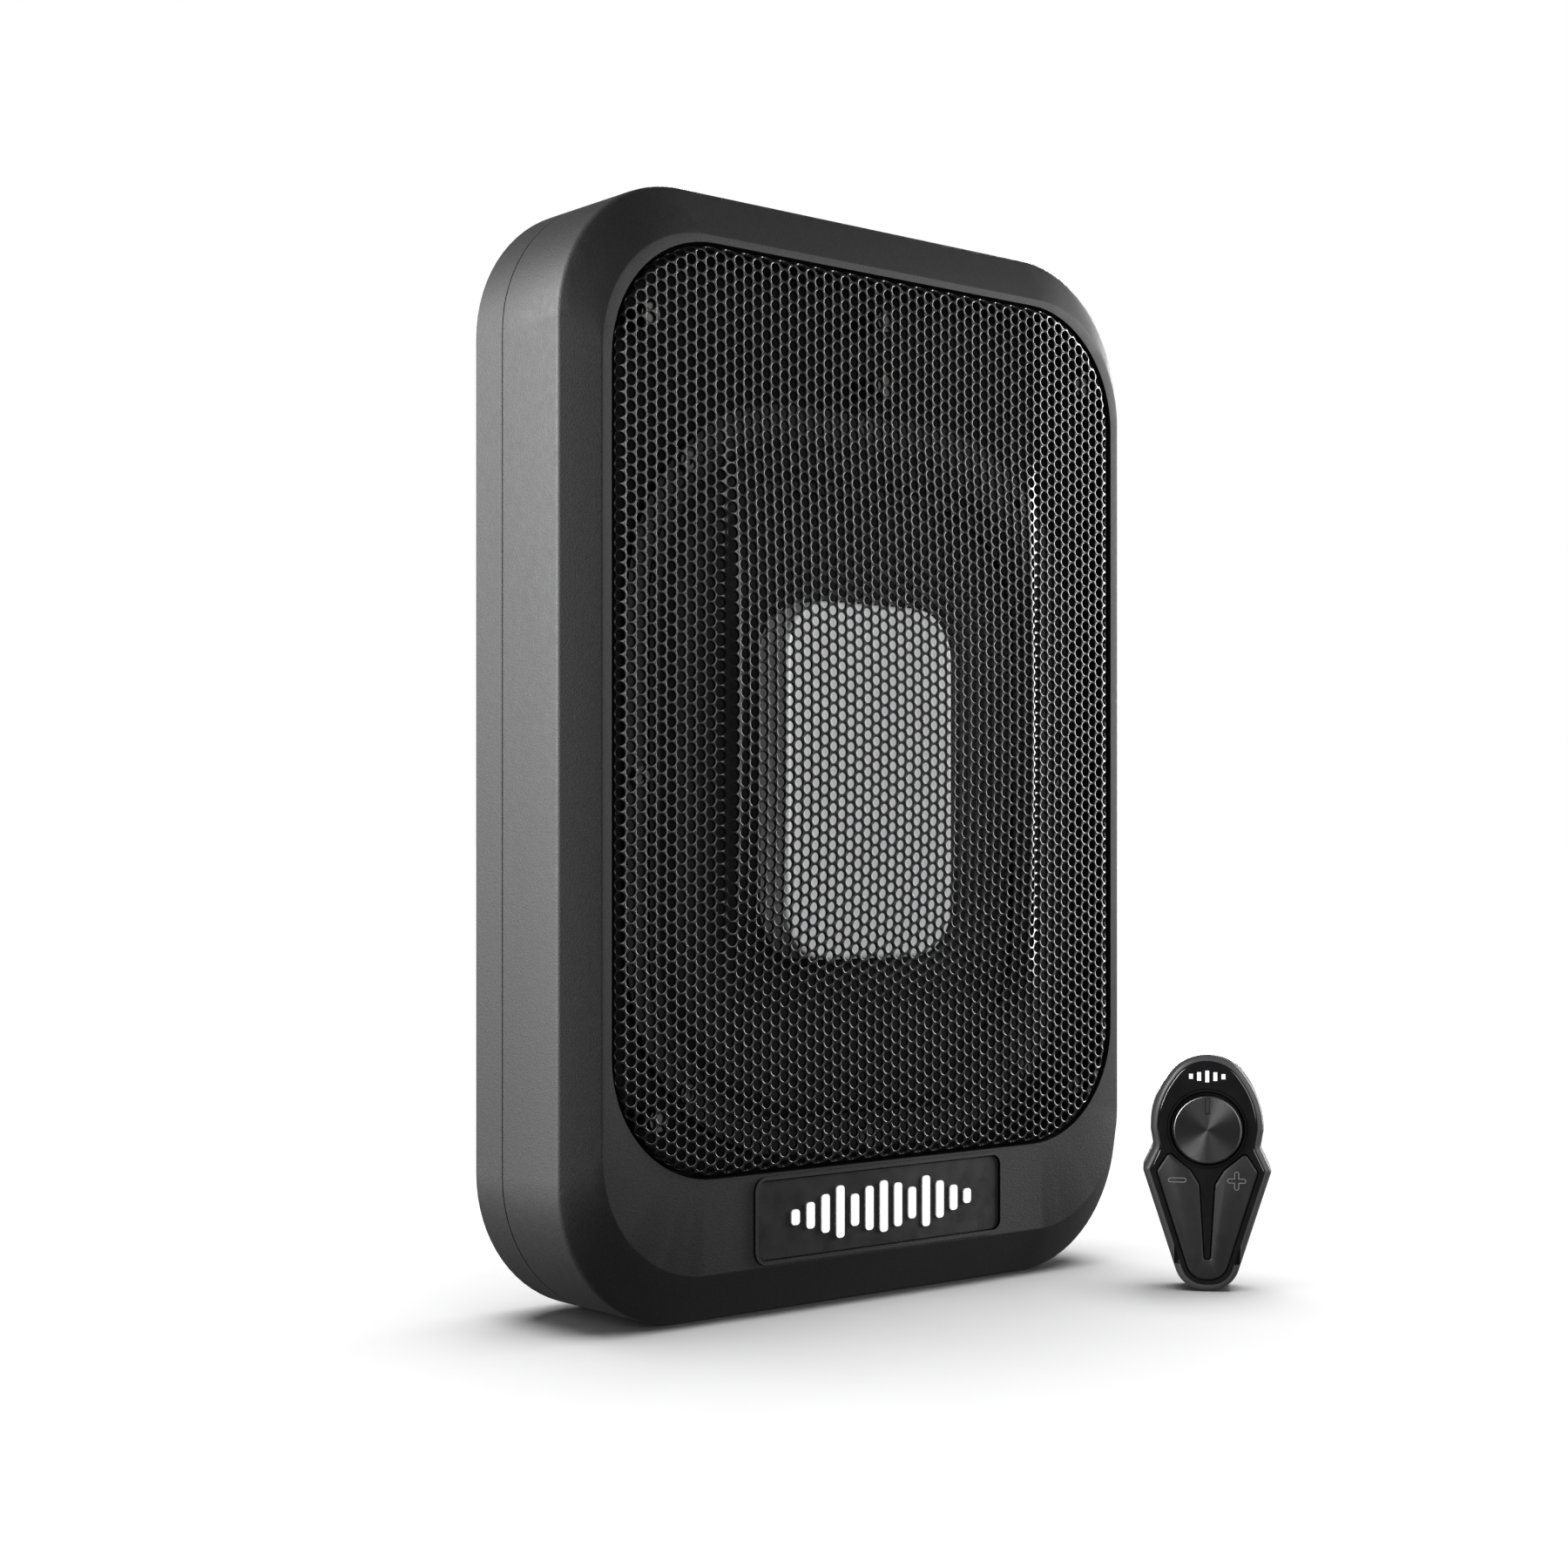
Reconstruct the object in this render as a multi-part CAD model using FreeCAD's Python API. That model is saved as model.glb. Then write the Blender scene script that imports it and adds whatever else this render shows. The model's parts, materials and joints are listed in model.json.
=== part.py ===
"""Slim powered car subwoofer with its wired level remote.

Millimetres. +X to the right as seen from the front, +Y towards the back, +Z up.
The origin is the middle of the flat short end that the cabinet stands on.
"""
import FreeCAD, Part
import math
import os

V = FreeCAD.Vector

# ---- cabinet: driving dimensions ----
WIDTH = 248.0
HEIGHT = 358.0
CORNER_R = 47.0
WALL = 3.0
FRAME_Y = -30.0  # front face of the frame
SHOULDER_Y = -20.0  # where the bevel meets the side walls
SEAM_Y = 10.0  # parting plane of the two shells
SEAM_GAP = 0.5
TAPER_Y = 25.0  # where the rear shell starts to draw in
BACK_Y = 36.0
BEVEL_SIDE = 9.5  # how far the bevel draws in at the long sides
BEVEL_END = 16.0  # and at the short ends
BEVEL_CORNER_R = 40.0
REAR_DRAW = 12.0
REAR_CORNER_R = 37.0
HALF_W = WIDTH / 2

# ---- grille and its opening ----
OPEN_HALF_W = 111.0
OPEN_LOW = 46.0
OPEN_HIGH = 339.7
OPEN_R = 40.0
GRILLE_GAP = 1.2
GRILLE_T = 1.0
GRILLE_FACE_Y = -32.6  # flat middle of the sheet
GRILLE_EDGE_Y = -30.3  # outer edge of the tilted side bands
GRILLE_RETURN = 10.1
BOW_HALF_W = 69.0
BOW_LOW = 97.6
BOW_HIGH = 287.0
BOW_RISE = 3.3
POST_R = 3.5
POSTS = [(-96, 314), (96, 314), (0, 324.5), (0, 303), (-93, 66), (93, 66)]

# ---- badge ----
BADGE_HALF_W = 53.6
BADGE_LOW = 18.6
BADGE_HIGH = 43.4
BADGE_R = 3.0
BADGE_RIM = 1.7
BADGE_RIM_RISE = 0.9
BADGE_PLATE_T = 1.3
MARK_BARS = [5.0, 8.5, 12.5, 17.0, 10.5, 14.5, 17.0, 14.5, 10.5, 17.0, 12.5, 8.5, 5.0]
MARK_PITCH = 6.4
MARK_BAR_W = 3.5

# ---- driver ----
BAFFLE_Y = -18.0
DRIVER_Z = 172.0
SURROUND_HALF_W = 90.0
SURROUND_HALF_H = 114.5
SURROUND_R = 60.0
SURROUND_LAND = 4.0
ROLL_W = 13.0
ROLL_H = 5.0
FLANGE_EXTRA = 8.0
FLANGE_Y = -20.5
FLANGE_T = 2.0
BASKET_FLOOR_Y = -1.0
BASKET_CLEAR = 6.5  # basket wall inside the surround's outer edge
CONE_DISH_Y = -11.0
CONE_T = 1.0
PLATE_HALF_W = 37.0
PLATE_HALF_H = 59.0
PLATE_R = 17.0
PLATE_Y = -25.0
PLATE_T = 0.8
FORMER_R = 16.0
COIL_R = 17.2
COIL_FRONT_Y = 2.8  # stays behind the spider at the cone's full outward stroke
COIL_LENGTH = 9.6
TOP_PLATE_Y = 5.0
MAGNET_Y = 9.0
YOKE_Y = 19.0
MOTOR_BACK_Y = 24.0
MAGNET_R = 48.0
GAP_R = 18.2
POLE_R = 14.6

# ---- shell fixings, all through the back ----
SHELL_SCREWS = [
    (sx * x, z) for x, z in ((104, 119), (104, 239), (92, 31), (92, 327)) for sx in (-1, 1)
]
INSERTS = [(sx * 94, z) for z in (90, 268) for sx in (-1, 1)]
FEET = [(sx * 96, z) for z in (56, 300) for sx in (-1, 1)]
INSERT_BORE_R = 2.1
INSERT_LENGTH = 8.0
FOOT_R = 7.0
FOOT_H = 2.5

# ---- amplifier board ----
BOARD_HALF_W = 86.0
BOARD_LOW = 240.0
BOARD_HIGH = 335.0
BOARD_Y = 20.0
BOARD_T = 1.6
SINK_HALF_W = 84.0
SINK_LOW = 230.0
SINK_HIGH = 338.0
SINK_Y = 29.0  # inner face of the heat-sink block
FIN_PITCH = 7.0
FIN_GAP = 4.0
FIN_DEPTH = 5.0
STANDOFFS = [(sx * 80, z) for z in (246, 329) for sx in (-1, 1)]

# ---- control panel on the upper short end ----
NOTCH_HALF_W = 88.0
NOTCH_Y = 12.0
NOTCH_Z = 349.0
PANEL_T = 1.5
PANEL_TOP = NOTCH_Z + PANEL_T
PANEL_MID_Y = 22.0
KNOB_XS = {"gain_knob": 43.0, "lowpass_knob": 55.0, "boost_knob": 67.0}
KNOB_R = 4.5
KNOB_TOP = 357.0
SHAFT_R = 1.5
SHAFT_CLEAR = 0.06
RCA_XS = (-8.5, 4.5)
RCA_R = 4.15
RCA_TOP = 357.5
LED_X = 76.0
SLIDER_X = 30.4
# low x, high x, width across, wall, depth of the mouth
SOCKETS = {
    "power_socket": (-80.0, -54.0, 12.0, 1.4, 11.0),
    "high_level_socket": (-34.0, -16.0, 10.0, 1.2, 11.0),
    "remote_port": (12.0, 25.0, 10.0, 1.3, 12.0),
}
SOCKET_TOP = 356.5

# ---- remote, drawn face towards -Y about its own middle, then turned and set down ----
REMOTE_TURN = -48.5
REMOTE_AT = V(100.2, -84.0, 0.0)
REMOTE_BACK_Y = 9.0
REMOTE_PART_Y = -2.0
REMOTE_FRONT_Y = -8.0
REMOTE_FACE_Y = -8.6
REMOTE_KNOB_Z = 55.0
REMOTE_KNOB_R = 11.6
REMOTE_WELL_R = 13.3
REMOTE_KNOB_FRONT_Y = -13.0
REMOTE_SHAFT_R = 3.0
REMOTE_SEAT = 2.2  # the faceplate's seat is drawn in from the outline by this
REMOTE_PAD_FRONT_Y = -9.1
REMOTE_PAD_BACK_Y = -6.8
REMOTE_PAD_GAP = 0.35
REMOTE_RIB_Y = -6.1  # the rocker tilts on a rib centred here
REMOTE_SCREW_ZS = (22.0, 72.0)
REMOTE_MARK_Z = 72.6
REMOTE_MARK_BARS = [1.7, 2.9, 3.9, 2.9, 1.7]
# (x, z, corner radius) of the right half, from the bottom up
REMOTE_OUTLINE = [
    (8.3, 0, 10.0),
    (21.6, 41, 2.5),
    (17.9, 48.8, 3.0),
    (18.9, 54.5, 4.0),
    (18.9, 64.2, 29.0),
    (7.83, 80, 14.8),
]
REMOTE_PAD = [
    (5.3, 4.1, 6.2),
    (16.8, 40.4, 1.6),
    (12.7, 46.7, 1.2),
    (5.8, 41.0, 4.0),
    (2.7, 36.0, 4.0),
    (1.2, 10.7, 0.9),
]


# ---- shape helpers ----
def box(x0, x1, y0, y1, z0, z1):
    return Part.makeBox(x1 - x0, y1 - y0, z1 - z0, V(x0, y0, z0))


def rod_y(radius, y0, y1, x, z):
    return Part.makeCylinder(radius, y1 - y0, V(x, y0, z), V(0, 1, 0))


def rod_z(radius, z0, z1, x, y):
    return Part.makeCylinder(radius, z1 - z0, V(x, y, z0), V(0, 0, 1))


def fuse(shapes):
    shapes = list(shapes)
    return shapes[0].multiFuse(shapes[1:]).removeSplitter() if len(shapes) > 1 else shapes[0]


def corner_arc(centre, radius, start_deg):
    def at(deg):
        a = math.radians(deg)
        return centre + V(radius * math.cos(a), 0, radius * math.sin(a))

    return Part.Arc(at(start_deg), at(start_deg + 45), at(start_deg + 90)).toShape()


def ring_wire(half_w, low, high, radius, y):
    """A rounded rectangle in the plane at y, from the right side anticlockwise."""
    cx = half_w - radius
    corners = [
        (V(cx, y, high - radius), 0),
        (V(-cx, y, high - radius), 90),
        (V(-cx, y, low + radius), 180),
        (V(cx, y, low + radius), 270),
    ]
    arcs = [corner_arc(c, radius, a) for c, a in corners]
    edges = []
    for this, after in zip(arcs, arcs[1:] + arcs[:1]):
        edges.append(this)
        start = this.lastVertex(True).Point
        end = after.firstVertex(True).Point
        edges.append(Part.LineSegment(start, end).toShape())
    return Part.Wire(Part.__sortEdges__(edges))


def slab(half_w, low, high, radius, y0, y1):
    face = Part.Face(ring_wire(half_w, low, high, radius, y0))
    return face.extrude(V(0, y1 - y0, 0))


def tapered(first, y0, second, y1):
    """A ruled solid between two rounded rectangles (half_w, low, high, radius)."""
    return Part.makeLoft([ring_wire(*first, y0), ring_wire(*second, y1)], True, True)


def inset(rect, by, by_ends=None):
    half_w, low, high, radius = rect
    ends = by if by_ends is None else by_ends
    return (half_w - by, low + ends, high - ends, max(radius - by, 1.0))


def ring(rect, width, y0, y1):
    return slab(*rect, y0, y1).cut(slab(*inset(rect, width), y0, y1))


def swept_ring(rect, profile):
    """Carry a closed profile of (outward offset, y) points round a rounded rectangle."""
    half_w, low, high, radius = rect
    cx = half_w - radius
    z0, z1 = low + radius, high - radius
    right = [V(half_w + out, y, z0) for out, y in profile]
    side = Part.Face(Part.makePolygon(right + right[:1]))
    bottom = [V(-cx, y, low - out) for out, y in profile]
    end = Part.Face(Part.makePolygon(bottom + bottom[:1]))
    pieces = [side.extrude(V(0, 0, z1 - z0)), end.extrude(V(2 * cx, 0, 0))]
    left = pieces[0].mirror(V(), V(1, 0, 0))
    top = pieces[1].mirror(V(0, 0, (low + high) / 2), V(0, 0, 1))
    pieces += [left, top]
    corner = side.revolve(V(cx, 0, z0), V(0, 1, 0), 90)
    upper = corner.mirror(V(0, 0, (low + high) / 2), V(0, 0, 1))
    for solid in (corner, upper):
        pieces += [solid, solid.mirror(V(), V(1, 0, 0))]
    return fuse(pieces)


def rounded_face(points, y):
    """A face at y from (x, z, corner radius) points in order."""
    spots = [(V(x, y, z), r) for x, z, r in points]
    count = len(spots)
    arcs = []
    for i, (here, radius) in enumerate(spots):
        to_prev = (spots[i - 1][0] - here).normalize()
        to_next = (spots[(i + 1) % count][0] - here).normalize()
        half = to_prev.getAngle(to_next) / 2
        bisector = (to_prev + to_next).normalize()
        run = radius / math.tan(half)
        middle = here + bisector * (radius / math.sin(half) - radius)
        arcs.append(Part.Arc(here + to_prev * run, middle, here + to_next * run).toShape())
    edges = []
    for this, after in zip(arcs, arcs[1:] + arcs[:1]):
        edges.append(this)
        start = this.lastVertex(True).Point
        end = after.firstVertex(True).Point
        if start.distanceToPoint(end) > 1e-3:
            edges.append(Part.LineSegment(start, end).toShape())
    return Part.Face(Part.Wire(Part.__sortEdges__(edges)))


def both_halves(right_half):
    return right_half + [(-x, z, r) for x, z, r in reversed(right_half)]


def prism(points, y0, y1):
    return rounded_face(points, y0).extrude(V(0, y1 - y0, 0))


def grown_prism(points, by, y0, y1):
    """The same outline moved outward by a distance, or inward where it is negative."""
    face = rounded_face(points, y0)
    wire = face.OuterWire.makeOffset2D(by, 0)
    return Part.Face(wire).extrude(V(0, y1 - y0, 0))


def bevelled_prism(points, start, steps, y_end):
    """A prism whose first edge is bevelled by (inset, y) steps, the last at the full outline."""
    wires = [rounded_face(points, y).OuterWire for _by, y in [start] + steps]
    insets = [by for by, _y in [start] + steps]
    rings = [w.makeOffset2D(-by, 0) if by else w for w, by in zip(wires, insets)]
    solids = [Part.makeLoft(list(pair), True, True) for pair in zip(rings, rings[1:])]
    last_y = steps[-1][1]
    solids.append(Part.Face(rings[-1]).extrude(V(0, y_end - last_y, 0)))
    return fuse(solids)


def lathe_y(points, x, z):
    """Turn a closed profile of (radius, y) points about the Y line through x, z."""
    spots = [V(x + r, y, z) for r, y in points]
    face = Part.Face(Part.makePolygon(spots + spots[:1]))
    return face.revolve(V(x, 0, z), V(0, 1, 0), 360)


OUTER = (HALF_W, 0.0, HEIGHT, CORNER_R)
LIP = (HALF_W - BEVEL_SIDE, BEVEL_END, HEIGHT - BEVEL_END, BEVEL_CORNER_R)
REAR = (HALF_W - REAR_DRAW, REAR_DRAW, HEIGHT - REAR_DRAW, REAR_CORNER_R)
OPENING = (OPEN_HALF_W, OPEN_LOW, OPEN_HIGH, OPEN_R)
SURROUND = (
    SURROUND_HALF_W,
    DRIVER_Z - SURROUND_HALF_H,
    DRIVER_Z + SURROUND_HALF_H,
    SURROUND_R,
)
BASKET = inset(SURROUND, BASKET_CLEAR)
CONE_EDGE = inset(SURROUND, SURROUND_LAND + ROLL_W - 1.5)
PLATE = (PLATE_HALF_W, DRIVER_Z - PLATE_HALF_H, DRIVER_Z + PLATE_HALF_H, PLATE_R)
BADGE = (BADGE_HALF_W, BADGE_LOW, BADGE_HIGH, BADGE_R)


# ---- shells ----
def soften(shape, y, radius):
    """Round the loop of edges that lies in the plane at y."""
    edges = [e for e in shape.Edges if abs(e.BoundBox.YMin - y) < 0.01 and e.BoundBox.YLength < 0.01]
    return shape.makeFillet(radius, edges)


def front_blank():
    bevel = tapered(LIP, FRAME_Y, OUTER, SHOULDER_Y)
    body = slab(*OUTER, SHOULDER_Y, SEAM_Y - SEAM_GAP / 2)
    blank = bevel.fuse(body).removeSplitter()
    blank = soften(blank, SHOULDER_Y, 2.5)
    return soften(blank, FRAME_Y, 1.2)


def front_shell():
    shell = front_blank()
    hollow_y = BAFFLE_Y + WALL
    shell = shell.cut(slab(*inset(OUTER, WALL), hollow_y, SEAM_Y))
    shell = shell.cut(slab(*OPENING, FRAME_Y - 5, BAFFLE_Y))
    pocket = tapered(inset(LIP, WALL), FRAME_Y + 4, inset(OUTER, WALL + 0.5), hollow_y + 0.01)
    shell = shell.cut(pocket.cut(slab(*inset(OPENING, -WALL), FRAME_Y, SEAM_Y)))
    shell = shell.cut(slab(*inset(BASKET, -1.0), BAFFLE_Y - 1, hollow_y + 1))
    rim = ring(inset(BADGE, -BADGE_RIM), BADGE_RIM - 0.5, FRAME_Y - BADGE_RIM_RISE, FRAME_Y + 2)
    shell = shell.fuse(rim.common(slab(*inset(LIP, 0.2, 0.4), FRAME_Y - 2, SEAM_Y)))
    shell = shell.cut(slab(*inset(BADGE, -0.5), FRAME_Y - 2, FRAME_Y + 1.1))
    bosses = [rod_y(5, FRAME_Y + 3.5, SEAM_Y - SEAM_GAP / 2, x, z) for x, z in SHELL_SCREWS]
    shell = shell.multiFuse(bosses).cut(slab(*OPENING, FRAME_Y - 5, BAFFLE_Y))
    pilots = [rod_y(1.7, -6, SEAM_Y, x, z) for x, z in SHELL_SCREWS]
    holes = [rod_y(1.6, BAFFLE_Y - 1, hollow_y + 1, x, z) for x, z in driver_screw_spots()]
    return shell.cut(Part.makeCompound(pilots + holes)).removeSplitter()


def rear_shell():
    outer = slab(*OUTER, SEAM_Y + SEAM_GAP / 2, TAPER_Y)
    outer = outer.fuse(tapered(OUTER, TAPER_Y, REAR, BACK_Y)).removeSplitter()
    outer = soften(outer, BACK_Y, 1.5)
    hollow = slab(*inset(OUTER, WALL), SEAM_Y, TAPER_Y - 1)
    hollow = hollow.fuse(tapered(inset(OUTER, WALL), TAPER_Y - 1, inset(REAR, 1), BACK_Y - WALL))
    sink = box(-SINK_HALF_W, SINK_HALF_W, SINK_Y, BACK_Y, SINK_LOW, SINK_HIGH)
    notch_block = box(
        -NOTCH_HALF_W - WALL, NOTCH_HALF_W + WALL, SEAM_Y + 0.25, BACK_Y, NOTCH_Z - WALL, HEIGHT
    )
    bosses = [rod_y(5, SEAM_Y + SEAM_GAP / 2, BACK_Y - 1, x, z) for x, z in SHELL_SCREWS]
    seats = [rod_y(6, BACK_Y - 12, BACK_Y - 1, x, z) for x, z in INSERTS]
    inner = hollow.cut(fuse([sink, notch_block] + bosses + seats))
    shell = outer.cut(inner)
    cuts = [box(-NOTCH_HALF_W, NOTCH_HALF_W, NOTCH_Y, BACK_Y + 5, NOTCH_Z, HEIGHT + 5)]
    cuts.append(box(-81.5, 81.5, 14.5, 29.5, NOTCH_Z - WALL - 1, NOTCH_Z + 1))
    for x, z in SHELL_SCREWS:
        cuts.append(rod_y(2.2, SEAM_Y, BACK_Y + 1, x, z))
        cuts.append(rod_y(4.0, BACK_Y - 2.5, BACK_Y + 1, x, z))
    for x, z in INSERTS:
        cuts.append(rod_y(3.5, BACK_Y - INSERT_LENGTH, BACK_Y + 1, x, z))
    for x, z in FEET:
        cuts.append(rod_y(FOOT_R + 0.1, BACK_Y - 0.8, BACK_Y + 1, x, z))
    for x, y in panel_screw_spots():
        cuts.append(rod_z(1.1, NOTCH_Z - WALL - 1, NOTCH_Z + 1, x, y))
    for i in range(-11, 12):
        x = i * FIN_PITCH
        upper = box(x - FIN_GAP / 2, x + FIN_GAP / 2, BACK_Y - FIN_DEPTH, BACK_Y + 1, 236, 332)
        cuts.append(upper)
        lower = box(x - FIN_GAP / 2, x + FIN_GAP / 2, BACK_Y - 1.2, BACK_Y + 1, 40, 216)
        cuts.append(lower)
    return shell.cut(Part.makeCompound(cuts)).removeSplitter()


def seam_gasket():
    return ring(inset(OUTER, 1.0), 1.6, SEAM_Y - SEAM_GAP / 2, SEAM_Y + SEAM_GAP / 2)


def shell_screws():
    screws = []
    for x, z in SHELL_SCREWS:
        head = rod_y(3.6, BACK_Y - 2.4, BACK_Y - 0.2, x, z)
        socket = Part.makeBox(1.6, 2, 4.6, V(x - 0.8, BACK_Y - 1.4, z - 2.3))
        cross = Part.makeBox(4.6, 2, 1.6, V(x - 2.3, BACK_Y - 1.4, z - 0.8))
        shank = rod_y(1.6, -4, BACK_Y - 2.4, x, z)
        screws.append(head.fuse(shank).cut(socket).cut(cross))
    return Part.makeCompound(screws)


# ---- grille ----
def grille_section(shift):
    """The sheet's front line from side to side, shifted back by a distance."""
    edge = OPEN_HALF_W - GRILLE_GAP
    face, far = GRILLE_FACE_Y + shift, GRILLE_EDGE_Y + shift
    return [(-edge, far), (-BOW_HALF_W, face), (BOW_HALF_W, face), (edge, far)]


def bow_solid(by):
    """The bowed panel's volume, drawn in on every side by a distance."""
    mid = (BOW_HIGH + BOW_LOW) / 2
    x = BOW_HALF_W - by
    base = GRILLE_FACE_Y + by
    start, end = V(-x, base, BOW_LOW), V(-x, base, BOW_HIGH)
    top = V(-x, GRILLE_FACE_Y - BOW_RISE + by, mid)
    arc = Part.Arc(start, top, end).toShape()
    chord = Part.LineSegment(end, start).toShape()
    return Part.Face(Part.Wire([arc, chord])).extrude(V(2 * x, 0, 0))


def grille():
    outline = inset(OPENING, GRILLE_GAP)
    front, back = grille_section(0), grille_section(GRILLE_T)
    points = [V(x, y, OPEN_LOW) for x, y in front + back[::-1]]
    sheet = Part.Face(Part.makePolygon(points + points[:1])).extrude(V(0, 0, OPEN_HIGH - OPEN_LOW))
    ahead = GRILLE_FACE_Y - 2
    sheet = sheet.common(slab(*outline, ahead, SEAM_Y))
    lip = ring(outline, GRILLE_T, GRILLE_FACE_Y, GRILLE_EDGE_Y + GRILLE_RETURN)
    in_front = [V(x, y, OPEN_LOW) for x, y in front]
    corners = in_front + [V(OPEN_HALF_W, ahead, OPEN_LOW), V(-OPEN_HALF_W, ahead, OPEN_LOW)]
    waste = Part.Face(Part.makePolygon(corners + corners[:1])).extrude(V(0, 0, OPEN_HIGH))
    lip = lip.cut(waste)
    body = fuse([sheet, lip, bow_solid(0)])
    return body.cut(bow_solid(GRILLE_T)).removeSplitter()


def grille_posts():
    posts = []
    for x, z in POSTS:
        tilt = max(abs(x) + POST_R - BOW_HALF_W, 0) / (OPEN_HALF_W - GRILLE_GAP - BOW_HALF_W)
        reach = GRILLE_FACE_Y + GRILLE_T + tilt * (GRILLE_EDGE_Y - GRILLE_FACE_Y) + 0.05
        posts.append(rod_y(POST_R, reach, BAFFLE_Y, x, z))
    return Part.makeCompound(posts)


def badge_plate():
    return slab(*BADGE, FRAME_Y - 0.2, FRAME_Y - 0.2 + BADGE_PLATE_T)


def badge_mark():
    middle = (BADGE_LOW + BADGE_HIGH) / 2
    bars = []
    first = -MARK_PITCH * (len(MARK_BARS) - 1) / 2
    for i, tall in enumerate(MARK_BARS):
        bar = slab(MARK_BAR_W / 2, middle - tall / 2, middle + tall / 2, 1.2, FRAME_Y - 0.7, FRAME_Y - 0.2)
        bar.translate(V(first + i * MARK_PITCH, 0, 0))
        bars.append(bar)
    return Part.makeCompound(bars)


# ---- driver ----
def driver_screw_spots():
    half_w = SURROUND_HALF_W + FLANGE_EXTRA / 2
    half_h = SURROUND_HALF_H + FLANGE_EXTRA / 2
    reach = SURROUND_R + FLANGE_EXTRA / 2
    diagonal = reach * math.sqrt(0.5)
    corner = (half_w - reach + diagonal, half_h - reach + diagonal)
    spots = [(sx * half_w, DRIVER_Z) for sx in (-1, 1)]
    spots += [(0, DRIVER_Z + sz * half_h) for sz in (-1, 1)]
    spots += [(sx * corner[0], DRIVER_Z + sz * corner[1]) for sx in (-1, 1) for sz in (-1, 1)]
    return spots


def driver_gasket():
    rect = inset(SURROUND, -FLANGE_EXTRA)
    body = ring(rect, FLANGE_EXTRA + BASKET_CLEAR - 1.2, BAFFLE_Y - 0.5, BAFFLE_Y)
    holes = [rod_y(1.8, BAFFLE_Y - 1, BAFFLE_Y + 1, x, z) for x, z in driver_screw_spots()]
    return body.cut(Part.makeCompound(holes))


def driver_basket():
    flange = slab(*inset(SURROUND, -FLANGE_EXTRA), FLANGE_Y, FLANGE_Y + FLANGE_T)
    bowl = slab(*BASKET, FLANGE_Y, BASKET_FLOOR_Y + 2)
    body = flange.fuse(bowl).cut(slab(*inset(BASKET, 2), FLANGE_Y - 1, BASKET_FLOOR_Y))
    neck = rod_y(MAGNET_R - 1, BASKET_FLOOR_Y, TOP_PLATE_Y, 0, DRIVER_Z)
    body = body.fuse(neck).cut(rod_y(MAGNET_R - 4, BASKET_FLOOR_Y - 1, TOP_PLATE_Y + 1, 0, DRIVER_Z))
    windows = []
    for sz in (-1, 1):
        for x0, x1 in ((-68, -30), (-24, 24), (30, 68)):
            z0, z1 = sorted((DRIVER_Z + sz * 56, DRIVER_Z + sz * 98))
            windows.append(box(x0, x1, BASKET_FLOOR_Y - 1, BASKET_FLOOR_Y + 3, z0, z1))
    for sx in (-1, 1):
        x0, x1 = sorted((sx * 55, sx * 77))
        windows.append(box(x0, x1, BASKET_FLOOR_Y - 1, BASKET_FLOOR_Y + 3, DRIVER_Z - 45, DRIVER_Z + 45))
    holes = [rod_y(1.8, FLANGE_Y - 1, BAFFLE_Y, x, z) for x, z in driver_screw_spots()]
    return body.cut(Part.makeCompound(windows + holes)).removeSplitter()


def driver_screws():
    screws = []
    for x, z in driver_screw_spots():
        head = rod_y(3.2, FLANGE_Y - 1.8, FLANGE_Y, x, z)
        shank = rod_y(1.5, FLANGE_Y, BAFFLE_Y + WALL + 3, x, z)
        socket = rod_y(1.3, FLANGE_Y - 1.9, FLANGE_Y - 0.8, x, z)
        screws.append(head.fuse(shank).cut(socket))
    return Part.makeCompound(screws)


def arc_points(width, rise, count):
    return [
        (width * i / count, rise * math.sin(math.pi * i / count)) for i in range(count + 1)
    ]


def surround():
    """A half-roll rubber edge with flat lands at the flange and at the cone."""
    land = SURROUND_LAND
    top = [(-land - w, FLANGE_Y - 0.8 - h) for w, h in arc_points(ROLL_W, ROLL_H - 0.8, 12)]
    under = [(-land - w, FLANGE_Y - h) for w, h in arc_points(ROLL_W, ROLL_H - 0.8, 12)]
    inner = -land - ROLL_W - 3.0
    front = [(0, FLANGE_Y - 0.8)] + top + [(inner, FLANGE_Y - 0.8)]
    back = [(inner, FLANGE_Y)] + under[::-1] + [(0, FLANGE_Y)]
    return swept_ring(SURROUND, front + back)


def cone():
    """A stiff dished diaphragm with a flat floor for the coil former."""
    floor_rect = inset(PLATE, -3.0)
    dish = tapered(CONE_EDGE, FLANGE_Y, floor_rect, CONE_DISH_Y)
    back = dish.copy()
    back.translate(V(0, CONE_T, 0))
    rim = slab(*CONE_EDGE, FLANGE_Y, FLANGE_Y + CONE_T)
    return back.fuse(rim).cut(dish).removeSplitter()


def cone_plate():
    shell = slab(*PLATE, PLATE_Y, CONE_DISH_Y)
    shell = soften(shell, PLATE_Y, 1.6)
    return shell.cut(slab(*inset(PLATE, PLATE_T), PLATE_Y + PLATE_T, CONE_DISH_Y + 1))


def voice_coil_former():
    start = CONE_DISH_Y + CONE_T
    tube = rod_y(FORMER_R, start, 13, 0, DRIVER_Z)
    return tube.cut(rod_y(FORMER_R - 0.4, start - 1, 14, 0, DRIVER_Z))


def voice_coil():
    tube = rod_y(COIL_R, COIL_FRONT_Y, COIL_FRONT_Y + COIL_LENGTH, 0, DRIVER_Z)
    return tube.cut(rod_y(FORMER_R, COIL_FRONT_Y - 1, 13, 0, DRIVER_Z))


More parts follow.
